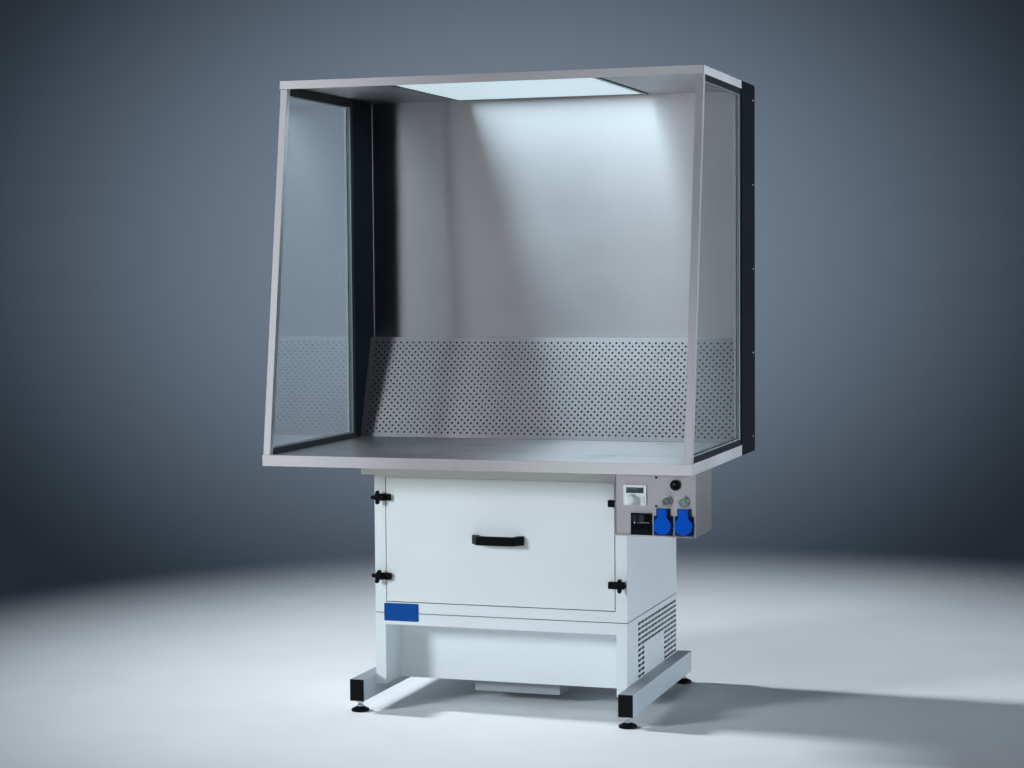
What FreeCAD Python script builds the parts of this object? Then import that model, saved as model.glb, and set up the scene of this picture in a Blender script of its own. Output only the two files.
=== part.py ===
import FreeCAD, Part
import math
import os

from FreeCAD import Placement, Rotation, Vector

# A fume extraction bench: a stainless worktop under a lit hood with glass sides, on a painted
# cabinet with the filters above and the fan below. Millimetres, +Z up, the front faces -Y.
# The origin is on the floor, in the middle of the bench's outline.

# Sheet metal and general clearances
sheet = 1.5
plate_gap = 0.3
running_clearance = 0.06

# Worktop
worktop_width = 1200.0
worktop_clear_depth = 620.0
work_height = 724.0
worktop_edge = 30.0

# Hood
hood_height = 1026.0
column_depth = 184.0
hollow_panel = 15.0
column_corner = 9.0
roof_setback = 146.0
roof_lip = 8.0
post_width = 20.0
post_setback = 2.0
channel_height_bottom = 20.0
channel_height_top = 26.0
channel_depth_rear = 30.0
glass_thickness = 6.0
glass_engagement = 8.0

# Sloping intake panel at the back of the hood, and the slot in the worktop behind it
baffle_height = 297.0
baffle_depth_bottom = 119.0
baffle_depth_top = 24.0
hole_diameter = 6.5
hole_pitch = 20.0
hole_row_pitch = 10.0
hole_margin = 14.0
intake_side_gap = 45.0
intake_rear_gap = 3.5
intake_offset = 14.0

# Light panel in the roof
light_front_gap = 12.0
light_border = 14.0
light_flange = 7.0
light_drop = 3.0
light_lip = 1.0
light_tray_gap = 3.5
light_rear_gap = 36.0
diffuser_thickness = 2.0
diffuser_seat = 2.0

# Base
beam_width = 40.0
beam_height = 60.0
beam_wall = 3.0
beam_underside = 32.0
beam_front_setback = 133.0
beam_rear_overhang = 10.0
cap_thickness = 4.0
cap_plug_gap = 2.0
foot_radius = 25.0
foot_edge_step = 2.0
foot_disc_height = 7.0
foot_cone_height = 7.0
foot_cone_radius = 10.0
stud_radius = 6.0
stud_top_gap = 14.0
foot_inset_front = 26.0
foot_inset_rear = 20.0
foot_nut_across = 19.0
foot_nut_height = 8.0
beam_hole_clearance = 1.0

# Cabinet and fan module
cabinet_width = 730.0
cabinet_front_setback = 231.0
cabinet_rear_inset = 7.0
module_beam_overlap = 27.0
module_height = 200.0
divider_thickness = 2.0
divider_inset = 1.0
leg_width = 30.0
recess_depth = 113.0
apron_rail = 31.0
top_tube = 40.0
top_tube_wall = 2.0

# Exhaust slots in the right side of the fan module
slot_rows = 11
slot_columns = 12
full_rows = 5
blank_first = 2
blank_last = 7
slot_row_pitch = 14.6
slot_column_pitch = 37.3
slot_end_web = 5.3
slot_row_web = 6.6
slot_top_margin = 19.5
slot_rear_margin = 3.0

# Door, its frame and latches
frame_side = 32.0
frame_bottom = 30.0
frame_top = 3.0
door_gap = 2.5
door_gap_top = 1.0
door_thickness = 20.0
door_flange = 15.0
seal_space = 4.0
seal_flange = 12.0
gasket_width = 10.0
gasket_inset = 3.0
handle_length = 150.0
handle_reach = 36.0
handle_bar = 9.0
handle_foot = 20.0
handle_height = 25.0
handle_shoulder = 6.0
handle_slant = 22.0
handle_inner_step = 3.0
handle_bend = 6.3
handle_edge_round = 1.8
handle_drop = 167.0
knob_bottom_inset = 73.0
knob_top_inset = 57.0
knob_span = 38.0
knob_arm = 10.5
knob_thickness = 13.0
knob_hub_radius = 8.5
knob_hub_rise = 0.8
knob_collar = 4.0
knob_stud_radius = 4.0
knob_stud_reach = 13.0
latch_thickness = 10.0
latch_height = 19.0
latch_overhang = 12.0
latch_reach = 16.0
latch_corner = 3.0
nut_radius = 9.0
nut_length = 10.0
stud_hole_clearance = 0.4

# Filters and their rails
filter_side_gap = 48.5
filter_door_gap = 15.0
filter_rear_gap = 25.5
filter_floor_gap = 48.0
filter_top_gap = 27.0
filter_step = 12.0
carbon_height = 90.0
prefilter_height = 46.0
rail_drop = 18.0
rail_sheet = 2.0
rail_hold = 16.0
filter_rim = 20.0
filter_face_recess = 4.0

# Fan
pan_width = 252.0
pan_depth = 250.0
pan_front_offset = 46.0
pan_height = 38.0
pan_flange = 15.0
pan_opening_inset = 15.0
motor_radius = 62.0
motor_height = 68.0
motor_foot_radius = 85.0
motor_foot_thickness = 6.0
shaft_radius = 7.0
shaft_floor = 28.0
shaft_end_gap = 10.0
impeller_radius = 130.0
impeller_height = 96.0
impeller_lift = 10.0
impeller_plate = 3.0
blade_count = 7
blade_thickness = 2.5
blade_lean = 38.0
hub_radius = 22.0
hub_height = 20.0
inlet_radius = 84.0
inlet_eye_gap = 4.0
inlet_wall = 1.5
inlet_flange = 25.0
inlet_overlap = 6.0

# Control box under the right end of the worktop
box_end_inset = 1.0
box_setback = 40.0
box_rear_gap = 5.0
plate_thickness = 2.0

# Layout of the control plate: distances from its edges and between its devices
plate_edge_right = 4.2
plate_edge_top = 14.2
device_gap = 5.4
controller_edge_left = 24.0
controller_rise = 21.0
monitor_edge_left = 43.0
monitor_edge_bottom = 5.0
socket_edge_bottom = 6.0
button_lid_gap = 5.2
button_row_rise = 42.0
button_spacing = 44.4
button_edge_right = 52.0

# Controller
controller_width = 61.0
controller_height = 52.0
controller_bezel = 6.0
controller_corner = 2.4
controller_body_inset = 5.0
controller_body_depth = 40.0
cutout_gap = 0.5
display_width = 47.0
display_height = 15.0
display_rise = 12.5
display_recess = 1.0
dial_left = 11.0
dial_drop = 11.0
dial_radius = 13.0
dial_height = 17.0
dial_grip = 5.0
dial_shaft_radius = 3.0
dial_shaft_length = 12.0
key_right = 20.0
key_drop = 12.0
key_width = 9.0
key_length = 17.0
key_height = 1.5
key_depth = 5.0
key_gap = 0.4

# Filter monitor
monitor_size = 56.0
monitor_bezel = 5.0
monitor_body_inset = 4.0
monitor_body_depth = 45.0
monitor_window = 2.0

# Push-buttons
button_cap_radius = 10.6
button_cap_gap = 0.4
button_cap_rise = 5.0
button_cap_seat = 4.0
button_dome = 2.5
button_bezel_wall = 2.8
button_bezel_height = 9.0
button_bezel_round = 1.6
button_well_floor = 1.0
button_barrel_length = 12.0
button_block = 28.0
button_block_depth = 40.0
button_stem_radius = 4.2
button_stem_reach = 10.0
button_stem_pocket = 18.0

# Sockets and their lids
socket_flange = 50.0
socket_flange_thickness = 6.0
socket_corner = 3.6
socket_collar_wall = 2.5
socket_collar_height = 5.0
socket_wall = 1.3
socket_recess_depth = 17.0
socket_body_radius = 20.8
socket_body_depth = 34.0
socket_contact_radius = 2.6
socket_contact_spacing = 19.0
socket_contact_depth = 14.0
lid_edge_inset = 1.5
lid_thickness = 5.0
lid_gap = 1.0
lid_neck_width = 25.4
lid_axis_height = 40.0
lid_axis_out = 10.0
lid_knuckle_radius = 4.0
lid_pin_radius = 2.0
ear_thickness = 3.0
ear_root = 3.0
ear_gap = 0.4

# Cable gland
gland_radius = 10.0
gland_bore_radius = 5.0
gland_across = 27.0
gland_hex_length = 12.0
gland_dome_length = 10.0
gland_dome_radius = 11.0
gland_nut_length = 5.0
gland_height = 60.0

# Screws
screw_head_radius = 3.2
screw_head_height = 2.2
screw_crown = 1.0
screw_radius = 2.0
screw_length = 8.0
screw_hole_clearance = 0.1
plate_screw_column = 110.0
plate_screw_edge_top = 10.0
plate_screw_lid_gap = 1.3
side_screw_front = 24.0
side_screw_top = 6.0
side_screw_inset = 12.0
column_screw_inset = 30.0
column_screw_rise = 44.0
column_screw_count = 5

# Label
label_width = 103.0
label_height = 50.0
label_thickness = 0.8
label_left_inset = 26.0
label_below_split = 21.0
label_corner = 3.2

# Derived planes
foot_rear_overhang = max(0.0, foot_radius - foot_inset_rear)
overall_depth = worktop_clear_depth + column_depth + beam_rear_overhang + foot_rear_overhang
front = -overall_depth / 2
half_width = worktop_width / 2
roof_fascia = hollow_panel + roof_lip
hood_top = work_height + hood_height
worktop_underside = work_height - worktop_edge
column_front = front + worktop_clear_depth
column_rear = column_front + column_depth
column_inner = half_width - hollow_panel
back_front = column_rear - hollow_panel
ceiling = hood_top - hollow_panel
roof_front = front + roof_setback
light_rear = back_front - light_rear_gap
light_size = light_rear - roof_front - light_front_gap
light_tray_height = hollow_panel - sheet - light_tray_gap
cabinet_half = cabinet_width / 2
cabinet_front = front + cabinet_front_setback
cabinet_rear = column_rear - cabinet_rear_inset
beam_top = beam_underside + beam_height
module_floor = beam_top - module_beam_overlap
module_split = module_floor + module_height
cabinet_floor = module_split + divider_thickness
cabinet_lid = worktop_underside - top_tube
cabinet_roof = cabinet_lid - divider_thickness
recess_plane = cabinet_front + recess_depth
beam_outer = cabinet_half + beam_width
beam_centre = cabinet_half + beam_width / 2
beam_front = front + beam_front_setback
beam_rear = column_rear + beam_rear_overhang
intake_front = back_front - baffle_depth_bottom + intake_offset
intake_rear = cabinet_rear - top_tube - sheet - intake_rear_gap
intake_half = cabinet_half - intake_side_gap
socket_height = socket_edge_bottom + socket_flange / 2
socket_first = monitor_edge_left + monitor_size + device_gap + socket_flange / 2
socket_second = socket_first + socket_flange + device_gap
lid_top = socket_height + lid_axis_height + lid_knuckle_radius
button_barrel_radius = button_cap_radius + button_cap_gap
button_bezel_radius = button_barrel_radius + button_bezel_wall
button_low_row = lid_top + button_lid_gap + button_bezel_radius
button_high_row = button_low_row + button_row_rise
box_width = socket_second + socket_flange / 2 + plate_edge_right
box_height = button_high_row + button_bezel_radius + plate_edge_top
button_centre = box_width - button_edge_right
box_right = half_width - box_end_inset
box_left = box_right - box_width
box_bottom = worktop_underside - box_height
plate_front = front + box_setback
plate_back = plate_front + plate_thickness
box_rear = cabinet_front - box_rear_gap
opening_half = cabinet_half - frame_side
opening_bottom = cabinet_floor + frame_bottom
opening_top = cabinet_roof - frame_top
seal_plane = cabinet_front + door_thickness + seal_space
knob_column = cabinet_half - frame_side / 2
fan_centre_y = recess_plane + pan_front_offset + pan_depth / 2
fan_opening_radius = min(pan_width, pan_depth) / 2 - pan_opening_inset
impeller_eye_radius = inlet_radius + inlet_eye_gap
motor_base = module_floor - pan_height + sheet
motor_top = motor_base + motor_height
impeller_base = motor_top + impeller_lift
filter_half = cabinet_half - sheet - filter_side_gap
filter_front = seal_plane + filter_door_gap
filter_rear = cabinet_rear - sheet - filter_rear_gap
carbon_low = cabinet_floor + filter_floor_gap
particle_low = carbon_low + carbon_height + filter_step
prefilter_low = cabinet_roof - filter_top_gap - prefilter_height
particle_height = prefilter_low - filter_step - particle_low

# Places on the control plate, from its lower left corner
controller_place = (controller_edge_left + controller_width / 2,
                    monitor_edge_bottom + monitor_size + controller_rise + controller_height / 2)
dial_place = (controller_place[0] - dial_left, controller_place[1] - dial_drop)
key_place = (controller_place[0] + key_right, controller_place[1] - key_drop)
display_place = (controller_place[0], controller_place[1] + display_rise)
monitor_place = (monitor_edge_left + monitor_size / 2, monitor_edge_bottom + monitor_size / 2)
button_places = {"black": (button_centre, button_high_row),
                 "clear": (button_centre - button_spacing / 2, button_low_row),
                 "green": (button_centre + button_spacing / 2, button_low_row)}
socket_places = {"left": (socket_first, socket_height), "right": (socket_second, socket_height)}
plate_screw_places = ((plate_screw_column, box_height - plate_screw_edge_top),
                      (plate_screw_column, lid_top + plate_screw_lid_gap + screw_head_radius))


def box(x0, x1, y0, y1, z0, z1):
    """A block between two corners."""
    return Part.makeBox(x1 - x0, y1 - y0, z1 - z0, Vector(x0, y0, z0))


def rod(radius, start, end):
    """A cylinder from one point to another."""
    axis = Vector(*end) - Vector(*start)
    return Part.makeCylinder(radius, axis.Length, Vector(*start), axis)


def prism(points, direction):
    """A solid swept from a closed outline of corner points."""
    corners = [Vector(*point) for point in points]
    outline = Part.makePolygon(corners + corners[:1])
    return Part.Face(outline).extrude(Vector(*direction))


def hexagon(across, start, length):
    """A hexagonal bar that stands on a point, its axis along Z."""
    radius = across / math.sqrt(3)
    corners = [(start[0] + radius * math.cos(math.radians(60 * i)),
                start[1] + radius * math.sin(math.radians(60 * i)), start[2]) for i in range(6)]
    return prism(corners, (0, 0, length))


def mirrored(shape):
    """The same shape on the other side of the bench."""
    return shape.mirror(Vector(0, 0, 0), Vector(1, 0, 0))


def both_sides(shape):
    """A shape on the right and its twin on the left, as two solids."""
    return Part.makeCompound([shape, mirrored(shape)])


def tube_x(x0, x1, y0, z0, width, height, wall):
    """A rectangular tube along X."""
    return box(x0, x1, y0, y0 + width, z0, z0 + height).cut(
        box(x0, x1, y0 + wall, y0 + width - wall, z0 + wall, z0 + height - wall))


def tube_y(y0, y1, x0, z0, width, height, wall):
    """A rectangular tube along Y."""
    return box(x0, x0 + width, y0, y1, z0, z0 + height).cut(
        box(x0 + wall, x0 + width - wall, y0, y1, z0 + wall, z0 + height - wall))


def tee(inset, z0, z1, y_front, y_rear):
    """A slab as wide as the bench in front, that narrows to fit between the hood's columns."""
    wide = half_width - inset
    narrow = column_inner - plate_gap - inset
    shoulder = column_front - plate_gap - inset
    points = [(-wide, y_front + inset, z0), (wide, y_front + inset, z0), (wide, shoulder, z0),
              (narrow, shoulder, z0), (narrow, y_rear - inset, z0), (-narrow, y_rear - inset, z0),
              (-narrow, shoulder, z0), (-wide, shoulder, z0)]
    return prism(points, (0, 0, z1 - z0))


def holed_plate(x_size, y_size, holes, thickness):
    """A flat plate in its own plane, from its lower left corner, with closed wires cut out of it."""
    corners = [Vector(0, 0), Vector(x_size, 0), Vector(x_size, y_size), Vector(0, y_size)]
    outline = Part.makePolygon(corners + corners[:1])
    return Part.Face([outline] + holes).extrude(Vector(0, 0, thickness))


def slot_wire(centre_x, centre_y, length, height):
    """The outline of a slot with round ends."""
    radius = height / 2
    reach = length / 2 - radius
    left = centre_x - reach
    right = centre_x + reach
    low = centre_y - radius
    high = centre_y + radius
    return Part.Wire([
        Part.LineSegment(Vector(left, low), Vector(right, low)).toShape(),
        Part.Arc(Vector(right, low), Vector(right + radius, centre_y), Vector(right, high)).toShape(),
        Part.LineSegment(Vector(right, high), Vector(left, high)).toShape(),
        Part.Arc(Vector(left, high), Vector(left - radius, centre_y), Vector(left, low)).toShape()])


def rounded(edge):
    """True for an edge that is a circle or an arc."""
    return edge.Curve.TypeId == "Part::GeomCircle"


def upright(edge):
    """True for a straight edge along Z."""
    return edge.BoundBox.ZLength > 0.999 * edge.Length


def crosswise(edge):
    """True for a straight edge along Y."""
    return edge.BoundBox.YLength > 0.999 * edge.Length


def level(edge):
    """True for an edge that stays at one height."""
    return edge.BoundBox.ZLength < 0.01


def export(node, shape):
    """Writes one piece, or a group of like pieces."""
    shape.exportStep("parts/" + node + ".step")


def base_beams():
    """Two rectangular tubes that run front to back beside the cabinet, drilled for the feet."""
    tube = tube_y(beam_front + cap_thickness, beam_rear - cap_thickness, cabinet_half, beam_underside,
                  beam_width, beam_height, beam_wall)
    for y in foot_rows():
        tube = tube.cut(rod(stud_radius + beam_hole_clearance, (beam_centre, y, beam_underside),
                            (beam_centre, y, beam_underside + beam_wall)))
    return both_sides(tube)


def foot_rows():
    """The front and rear positions of the feet along a beam."""
    return (beam_front + foot_inset_front, beam_rear - foot_inset_rear)


def beam_end_caps():
    """A plastic cap in each end of the two beams: a flange as large as the tube and a plug inside it."""
    caps = []
    plug_length = min(foot_inset_front, foot_inset_rear) - stud_radius - cap_thickness - cap_plug_gap
    for face, inward in ((beam_front, 1), (beam_rear, -1)):
        y0, y1 = sorted((face, face + inward * cap_thickness))
        flange = box(cabinet_half, beam_outer, y0, y1, beam_underside, beam_top)
        inner = beam_wall + plate_gap
        p0, p1 = sorted((face + inward * cap_thickness, face + inward * (cap_thickness + plug_length)))
        plug = box(cabinet_half + inner, beam_outer - inner, p0, p1, beam_underside + inner,
                   beam_top - inner)
        caps.append(flange.fuse(plug).removeSplitter())
    return Part.makeCompound([both_sides(cap) for cap in caps])


def foot(x, y):
    """A levelling foot: a disc with a coned top on a stud that screws up into the beam."""
    disc = rod(foot_radius, (x, y, 0), (x, y, foot_disc_height))
    cone = Part.makeCone(foot_radius - foot_edge_step, foot_cone_radius, foot_cone_height,
                         Vector(x, y, foot_disc_height))
    stud = rod(stud_radius, (x, y, foot_disc_height), (x, y, beam_top - beam_wall - stud_top_gap))
    return disc.fuse([cone, stud]).removeSplitter()


def foot_nuts():
    """The lock nut of each foot, tight against the underside of its beam."""
    nuts = []
    for x in (-beam_centre, beam_centre):
        for y in foot_rows():
            start = (x, y, beam_underside - foot_nut_height)
            bore = rod(stud_radius + running_clearance, start, (x, y, beam_underside))
            nuts.append(hexagon(foot_nut_across, start, foot_nut_height).cut(bore))
    return Part.makeCompound(nuts)


def fan_side():
    """A side sheet of the fan module, folded round the front into a leg and back to the recess."""
    inner = cabinet_half - leg_width
    skin_inside = cabinet_half - sheet
    skin = box(skin_inside, cabinet_half, cabinet_front, cabinet_rear - sheet, module_floor, module_split)
    face = box(inner, skin_inside, cabinet_front, cabinet_front + sheet, module_floor, module_split)
    cheek = box(inner, inner + sheet, cabinet_front + sheet, recess_plane, module_floor, module_split)
    return skin.fuse([face, cheek]).removeSplitter()


def slotted_fan_side():
    """The right side sheet: rows of slots behind the recess, with a blank patch in the lower rows."""
    first_y = cabinet_rear - sheet - slot_rear_margin - (slot_columns - 0.5) * slot_column_pitch
    slot_length = slot_column_pitch - slot_end_web
    slot_height = slot_row_pitch - slot_row_web
    slots = []
    for row in range(slot_rows):
        z = module_split - slot_top_margin - row * slot_row_pitch
        for column in range(slot_columns):
            if row >= full_rows and blank_first <= column <= blank_last:
                continue
            slot = Part.Face(slot_wire(0, 0, slot_length, slot_height)).extrude(Vector(0, 0, sheet))
            place = Vector(cabinet_half - sheet, first_y + column * slot_column_pitch, z)
            slot.Placement = Placement(place, Rotation(Vector(1, 1, 1), 120))
            slots.append(slot)
    return fan_side().cut(slots)


def front_apron():
    """One sheet folded three ways: the rail between the legs, the soffit behind it, the recessed panel."""
    inner = cabinet_half - leg_width
    rail_bottom = module_split - apron_rail
    rail = box(-inner, inner, cabinet_front, cabinet_front + sheet, rail_bottom, module_split)
    soffit = box(-inner, inner, cabinet_front + sheet, recess_plane, rail_bottom, rail_bottom + sheet)
    panel = box(-inner, inner, recess_plane, recess_plane + sheet, module_floor, rail_bottom + sheet)
    return rail.fuse([soffit, panel]).removeSplitter()


def rear_panels():
    """The flat rear sheets of the fan module and of the filter cabinet."""
    rear = cabinet_rear - sheet
    lower = box(-cabinet_half, cabinet_half, rear, cabinet_rear, module_floor, module_split)
    upper = box(-cabinet_half, cabinet_half, rear, cabinet_rear, cabinet_floor, cabinet_roof)
    return Part.makeCompound([lower, upper])


def fan_floor():
    """The floor of the fan module, open above the pan."""
    inner = cabinet_half - sheet
    top = module_floor + sheet
    floor = box(-inner, inner, recess_plane + sheet, cabinet_rear - sheet, module_floor, top)
    return floor.cut(rod(fan_opening_radius, (0, fan_centre_y, module_floor), (0, fan_centre_y, top)))


def bottom_pan():
    """A shallow pan hung under the floor by its flange. It carries the fan's motor."""
    half = pan_width / 2
    y0 = fan_centre_y - pan_depth / 2
    y1 = fan_centre_y + pan_depth / 2
    bottom = module_floor - pan_height
    tray = box(-half, half, y0, y1, bottom, module_floor).cut(
        box(-half + sheet, half - sheet, y0 + sheet, y1 - sheet, bottom + sheet, module_floor))
    rim = box(-half - pan_flange, half + pan_flange, y0 - pan_flange, y1 + pan_flange,
              module_floor - sheet, module_floor).cut(
        box(-half + sheet, half - sheet, y0 + sheet, y1 - sheet, module_floor - sheet, module_floor))
    return tray.fuse(rim).removeSplitter()


def divider_plate():
    """The plate between the two modules, with the hole that the fan draws through."""
    half = cabinet_half - divider_inset
    plate = box(-half, half, cabinet_front + divider_inset, cabinet_rear - divider_inset,
                module_split, cabinet_floor)
    return plate.cut(rod(inlet_radius, (0, fan_centre_y, module_split), (0, fan_centre_y, cabinet_floor)))


def fan_motor():
    """A round motor on a foot flange in the pan, bored for the impeller's shaft."""
    centre = (0, fan_centre_y)
    foot_plate = rod(motor_foot_radius, (*centre, motor_base), (*centre, motor_base + motor_foot_thickness))
    body = rod(motor_radius, (*centre, motor_base), (*centre, motor_top))
    bore = rod(shaft_radius + running_clearance, (*centre, motor_base + shaft_floor - shaft_end_gap),
               (*centre, motor_top))
    return foot_plate.fuse(body).removeSplitter().cut(bore)


def impeller_blade(index):
    """One flat blade, set back from the radius, that stands on the back plate."""
    length = impeller_radius - impeller_eye_radius
    blade = box(0, length, 0, blade_thickness, 0, impeller_height - impeller_plate)
    blade.rotate(Vector(0, 0, 0), Vector(0, 0, 1), blade_lean)
    blade.translate(Vector(impeller_eye_radius, 0, impeller_plate / 2))
    blade.rotate(Vector(0, 0, 0), Vector(0, 0, 1), 360.0 / blade_count * index)
    blade.translate(Vector(0, fan_centre_y, impeller_base))
    return blade


def fan_impeller():
    """Back plate, leaning blades, shroud ring, hub and shaft, made as one welded wheel."""
    low = impeller_base
    top = low + impeller_height
    centre = (0, fan_centre_y)
    back = rod(impeller_radius, (*centre, low), (*centre, low + impeller_plate))
    shroud = rod(impeller_radius, (*centre, top - impeller_plate), (*centre, top)).cut(
        rod(impeller_eye_radius, (*centre, top - impeller_plate), (*centre, top)))
    hub = rod(hub_radius, (*centre, low), (*centre, low + hub_height))
    shaft = rod(shaft_radius, (*centre, motor_base + shaft_floor), (*centre, low + hub_height))
    blades = [impeller_blade(index) for index in range(blade_count)]
    return back.fuse([shroud, hub, shaft] + blades).removeSplitter()


def fan_inlet_ring():
    """A flanged nozzle under the divider plate that dips into the impeller's eye."""
    centre = (0, fan_centre_y)
    flange_top = module_split
    low = impeller_base + impeller_height - inlet_overlap
    flange = rod(inlet_radius + inlet_flange, (*centre, flange_top - sheet), (*centre, flange_top))
    nozzle = rod(inlet_radius, (*centre, low), (*centre, flange_top))
    bore = rod(inlet_radius - inlet_wall, (*centre, low), (*centre, flange_top))
    return flange.fuse(nozzle).removeSplitter().cut(bore)


def cabinet_sides():
    """The flat side sheets of the filter cabinet."""
    return both_sides(box(cabinet_half - sheet, cabinet_half, cabinet_front + sheet, cabinet_rear - sheet,
                          cabinet_floor, cabinet_roof))


def knob_points():
    """Places of the four hand screws: (name, side, height)."""
    heights = {"lower": opening_bottom + knob_bottom_inset, "upper": opening_top - knob_top_inset}
    sides = {"left": -1, "right": 1}
    return [(row + "_" + hand, sides[hand], heights[row]) for row in heights for hand in sides]


def door_frame():
    """The folded front of the cabinet: a flat border, a return round the opening and a sealing flange."""
    y0 = cabinet_front
    y1 = seal_plane
    outer = opening_half + sheet
    border = box(-cabinet_half, cabinet_half, y0, y0 + sheet, cabinet_floor, cabinet_roof)
    wall = box(-outer, outer, y0, y1 + sheet, opening_bottom - sheet, opening_top + sheet)
    opening = box(-opening_half, opening_half, y0, y1, opening_bottom, opening_top)
    throat = box(-opening_half + seal_flange, opening_half - seal_flange, y1, y1 + sheet,
                 opening_bottom + seal_flange, opening_top - seal_flange)
    frame = border.fuse(wall).removeSplitter().cut([opening, throat])
    for _, side, height in knob_points():
        x = side * knob_column
        nut = rod(nut_radius, (x, y0 + sheet, height), (x, y0 + sheet + nut_length, height))
        bore = rod(knob_stud_radius + stud_hole_clearance, (x, y0, height),
                   (x, y0 + sheet + nut_length, height))
        frame = frame.fuse(nut).removeSplitter().cut(bore)
    return frame


def intake_duct():
    """The cabinet's top sheet, with a sleeve that rises to the slot in the worktop."""
    lid = box(-cabinet_half, cabinet_half, cabinet_front, cabinet_rear, cabinet_roof, cabinet_lid)
    sleeve = box(-intake_half - sheet, intake_half + sheet, intake_front - sheet, intake_rear + sheet,
                 cabinet_roof, worktop_underside)
    passage = box(-intake_half, intake_half, intake_front, intake_rear, cabinet_roof, worktop_underside)
    return lid.fuse(sleeve).removeSplitter().cut(passage)


def door_corners(inset):
    """Left, right, bottom and top of the door, drawn in by an inset."""
    gap = door_gap + inset
    return (-opening_half + gap, opening_half - gap, opening_bottom + gap, opening_top - door_gap_top - inset)


def door_block(inset, y0, y1):
    """A block of the door's outline, drawn in by an inset."""
    left, right, bottom, top = door_corners(inset)
    return box(left, right, y0, y1, bottom, top)


def filter_door():
    """A folded tray that lies flush in the frame, with a flange inside for the gasket."""
    y0 = cabinet_front
    y1 = cabinet_front + door_thickness
    tray = door_block(0, y0, y1).cut(door_block(sheet, y0 + sheet, y1 - sheet))
    return tray.cut(door_block(sheet + door_flange, y1 - sheet, y1))


def door_gasket():
    """A rubber frame on the door's flange that closes on the sealing flange."""
    y0 = cabinet_front + door_thickness
    y1 = seal_plane - plate_gap
    return door_block(gasket_inset, y0, y1).cut(door_block(gasket_inset + gasket_width, y0, y1))


def door_handle():
    """A flat bow handle with slanted ends, screwed to the door from inside."""
    half = handle_length / 2
    reach = handle_reach
    low = opening_top - handle_drop - handle_height / 2
    bar_half = half - handle_slant
    inner_half = bar_half - handle_inner_step
    y = cabinet_front
    outline = [(-half, y, low), (-half, y - handle_shoulder, low), (-bar_half, y - reach, low),
               (bar_half, y - reach, low), (half, y - handle_shoulder, low), (half, y, low),
               (half - handle_foot, y, low), (inner_half, y - reach + handle_bar, low),
               (-inner_half, y - reach + handle_bar, low), (-half + handle_foot, y, low)]
    bow = prism(outline, (0, 0, handle_height))
    bends = [edge for edge in bow.Edges
             if upright(edge) and edge.CenterOfMass.y < y - (reach - handle_bar) / 2]
    bow = bow.makeFillet(min(handle_bend, handle_bar * 0.7), bends)
    rims = [edge for edge in bow.Edges if level(edge) and edge.CenterOfMass.y < y - handle_edge_round / 2]
    return bow.makeFillet(min(handle_edge_round, handle_bar / 3), rims)


def latch_blocks():
    """Four blocks on the door's edges that reach over the frame and carry the hand screws."""
    y0 = cabinet_front - latch_thickness
    y1 = cabinet_front
    door_edge = opening_half - door_gap
    blocks = []
    for _, side, height in knob_points():
        low = height - latch_height / 2
        high = height + latch_height / 2
        x0 = door_edge - latch_reach
        x1 = knob_column + latch_overhang
        block = box(x0, x1, y0, y1, low, high)
        block = block.cut(box(door_edge, x1, y1 - plate_gap, y1, low, high))
        block = block.cut(rod(knob_stud_radius + running_clearance, (knob_column, y0, height),
                              (knob_column, y1, height)))
        corners = [edge for edge in block.Edges if crosswise(edge) and edge.Length > latch_thickness / 2]
        block = block.makeFillet(min(latch_corner, latch_height / 4), corners)
        blocks.append(block if side > 0 else mirrored(block))
    return Part.makeCompound(blocks)


def latch_knob(side, height):
    """A cross-shaped hand screw: two crossed round-ended bars on a hub, with a plain stud."""
    x = side * knob_column
    y1 = cabinet_front - latch_thickness - plate_gap
    y0 = y1 - knob_thickness
    bar_back = y1 - knob_collar
    hub = rod(knob_hub_radius, (x, y0, height), (x, y1, height))
    stud = rod(knob_stud_radius, (x, y1, height), (x, cabinet_front + knob_stud_reach, height))
    bars = []
    for turn in (0, 90):
        outline = Part.Face(slot_wire(0, 0, knob_span, knob_arm))
        bar = outline.extrude(Vector(0, 0, knob_thickness - knob_collar - knob_hub_rise))
        bar.rotate(Vector(0, 0, 0), Vector(0, 0, 1), turn)
        upright_place = Placement(Vector(x, bar_back, height), Rotation(Vector(1, 0, 0), 90))
        bar.Placement = upright_place * bar.Placement
        bars.append(bar)
    return hub.fuse(bars + [stud]).removeSplitter()


def filter_cassette(low, height):
    """A filter in a frame: a block with its medium set back a little inside the rim, above and below."""
    cassette = box(-filter_half, filter_half, filter_front, filter_rear, low, low + height)
    inner = filter_half - filter_rim
    front_edge = filter_front + filter_rim
    rear_edge = filter_rear - filter_rim
    for z0, z1 in ((low, low + filter_face_recess), (low + height - filter_face_recess, low + height)):
        cassette = cassette.cut(box(-inner, inner, front_edge, rear_edge, z0, z1))
    return cassette


def filter_rails():
    """Angle rails on both side sheets, one pair under each filter."""
    y0 = seal_plane + sheet + plate_gap
    y1 = cabinet_rear - sheet
    inner = filter_half - rail_hold
    outer = cabinet_half - sheet
    rails = []
    for low in (carbon_low, particle_low, prefilter_low):
        shelf = box(inner, outer, y0, y1, low - rail_sheet, low)
        web = box(outer - rail_sheet, outer, y0, y1, low - rail_drop, low - rail_sheet)
        rails.append(both_sides(shelf.fuse(web).removeSplitter()))
    return Part.makeCompound(rails)


def top_frame():
    """Four square tubes under the worktop: two across the bench and one along each side between them."""
    low = cabinet_lid
    rear = cabinet_rear - top_tube
    cross = [tube_x(-beam_outer, beam_outer, y, low, top_tube, top_tube, top_tube_wall)
             for y in (cabinet_front, rear)]
    side = tube_y(cabinet_front + top_tube, rear, beam_outer - top_tube, low,
                  top_tube, top_tube, top_tube_wall)
    return Part.makeCompound(cross + [both_sides(side)])


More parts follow.
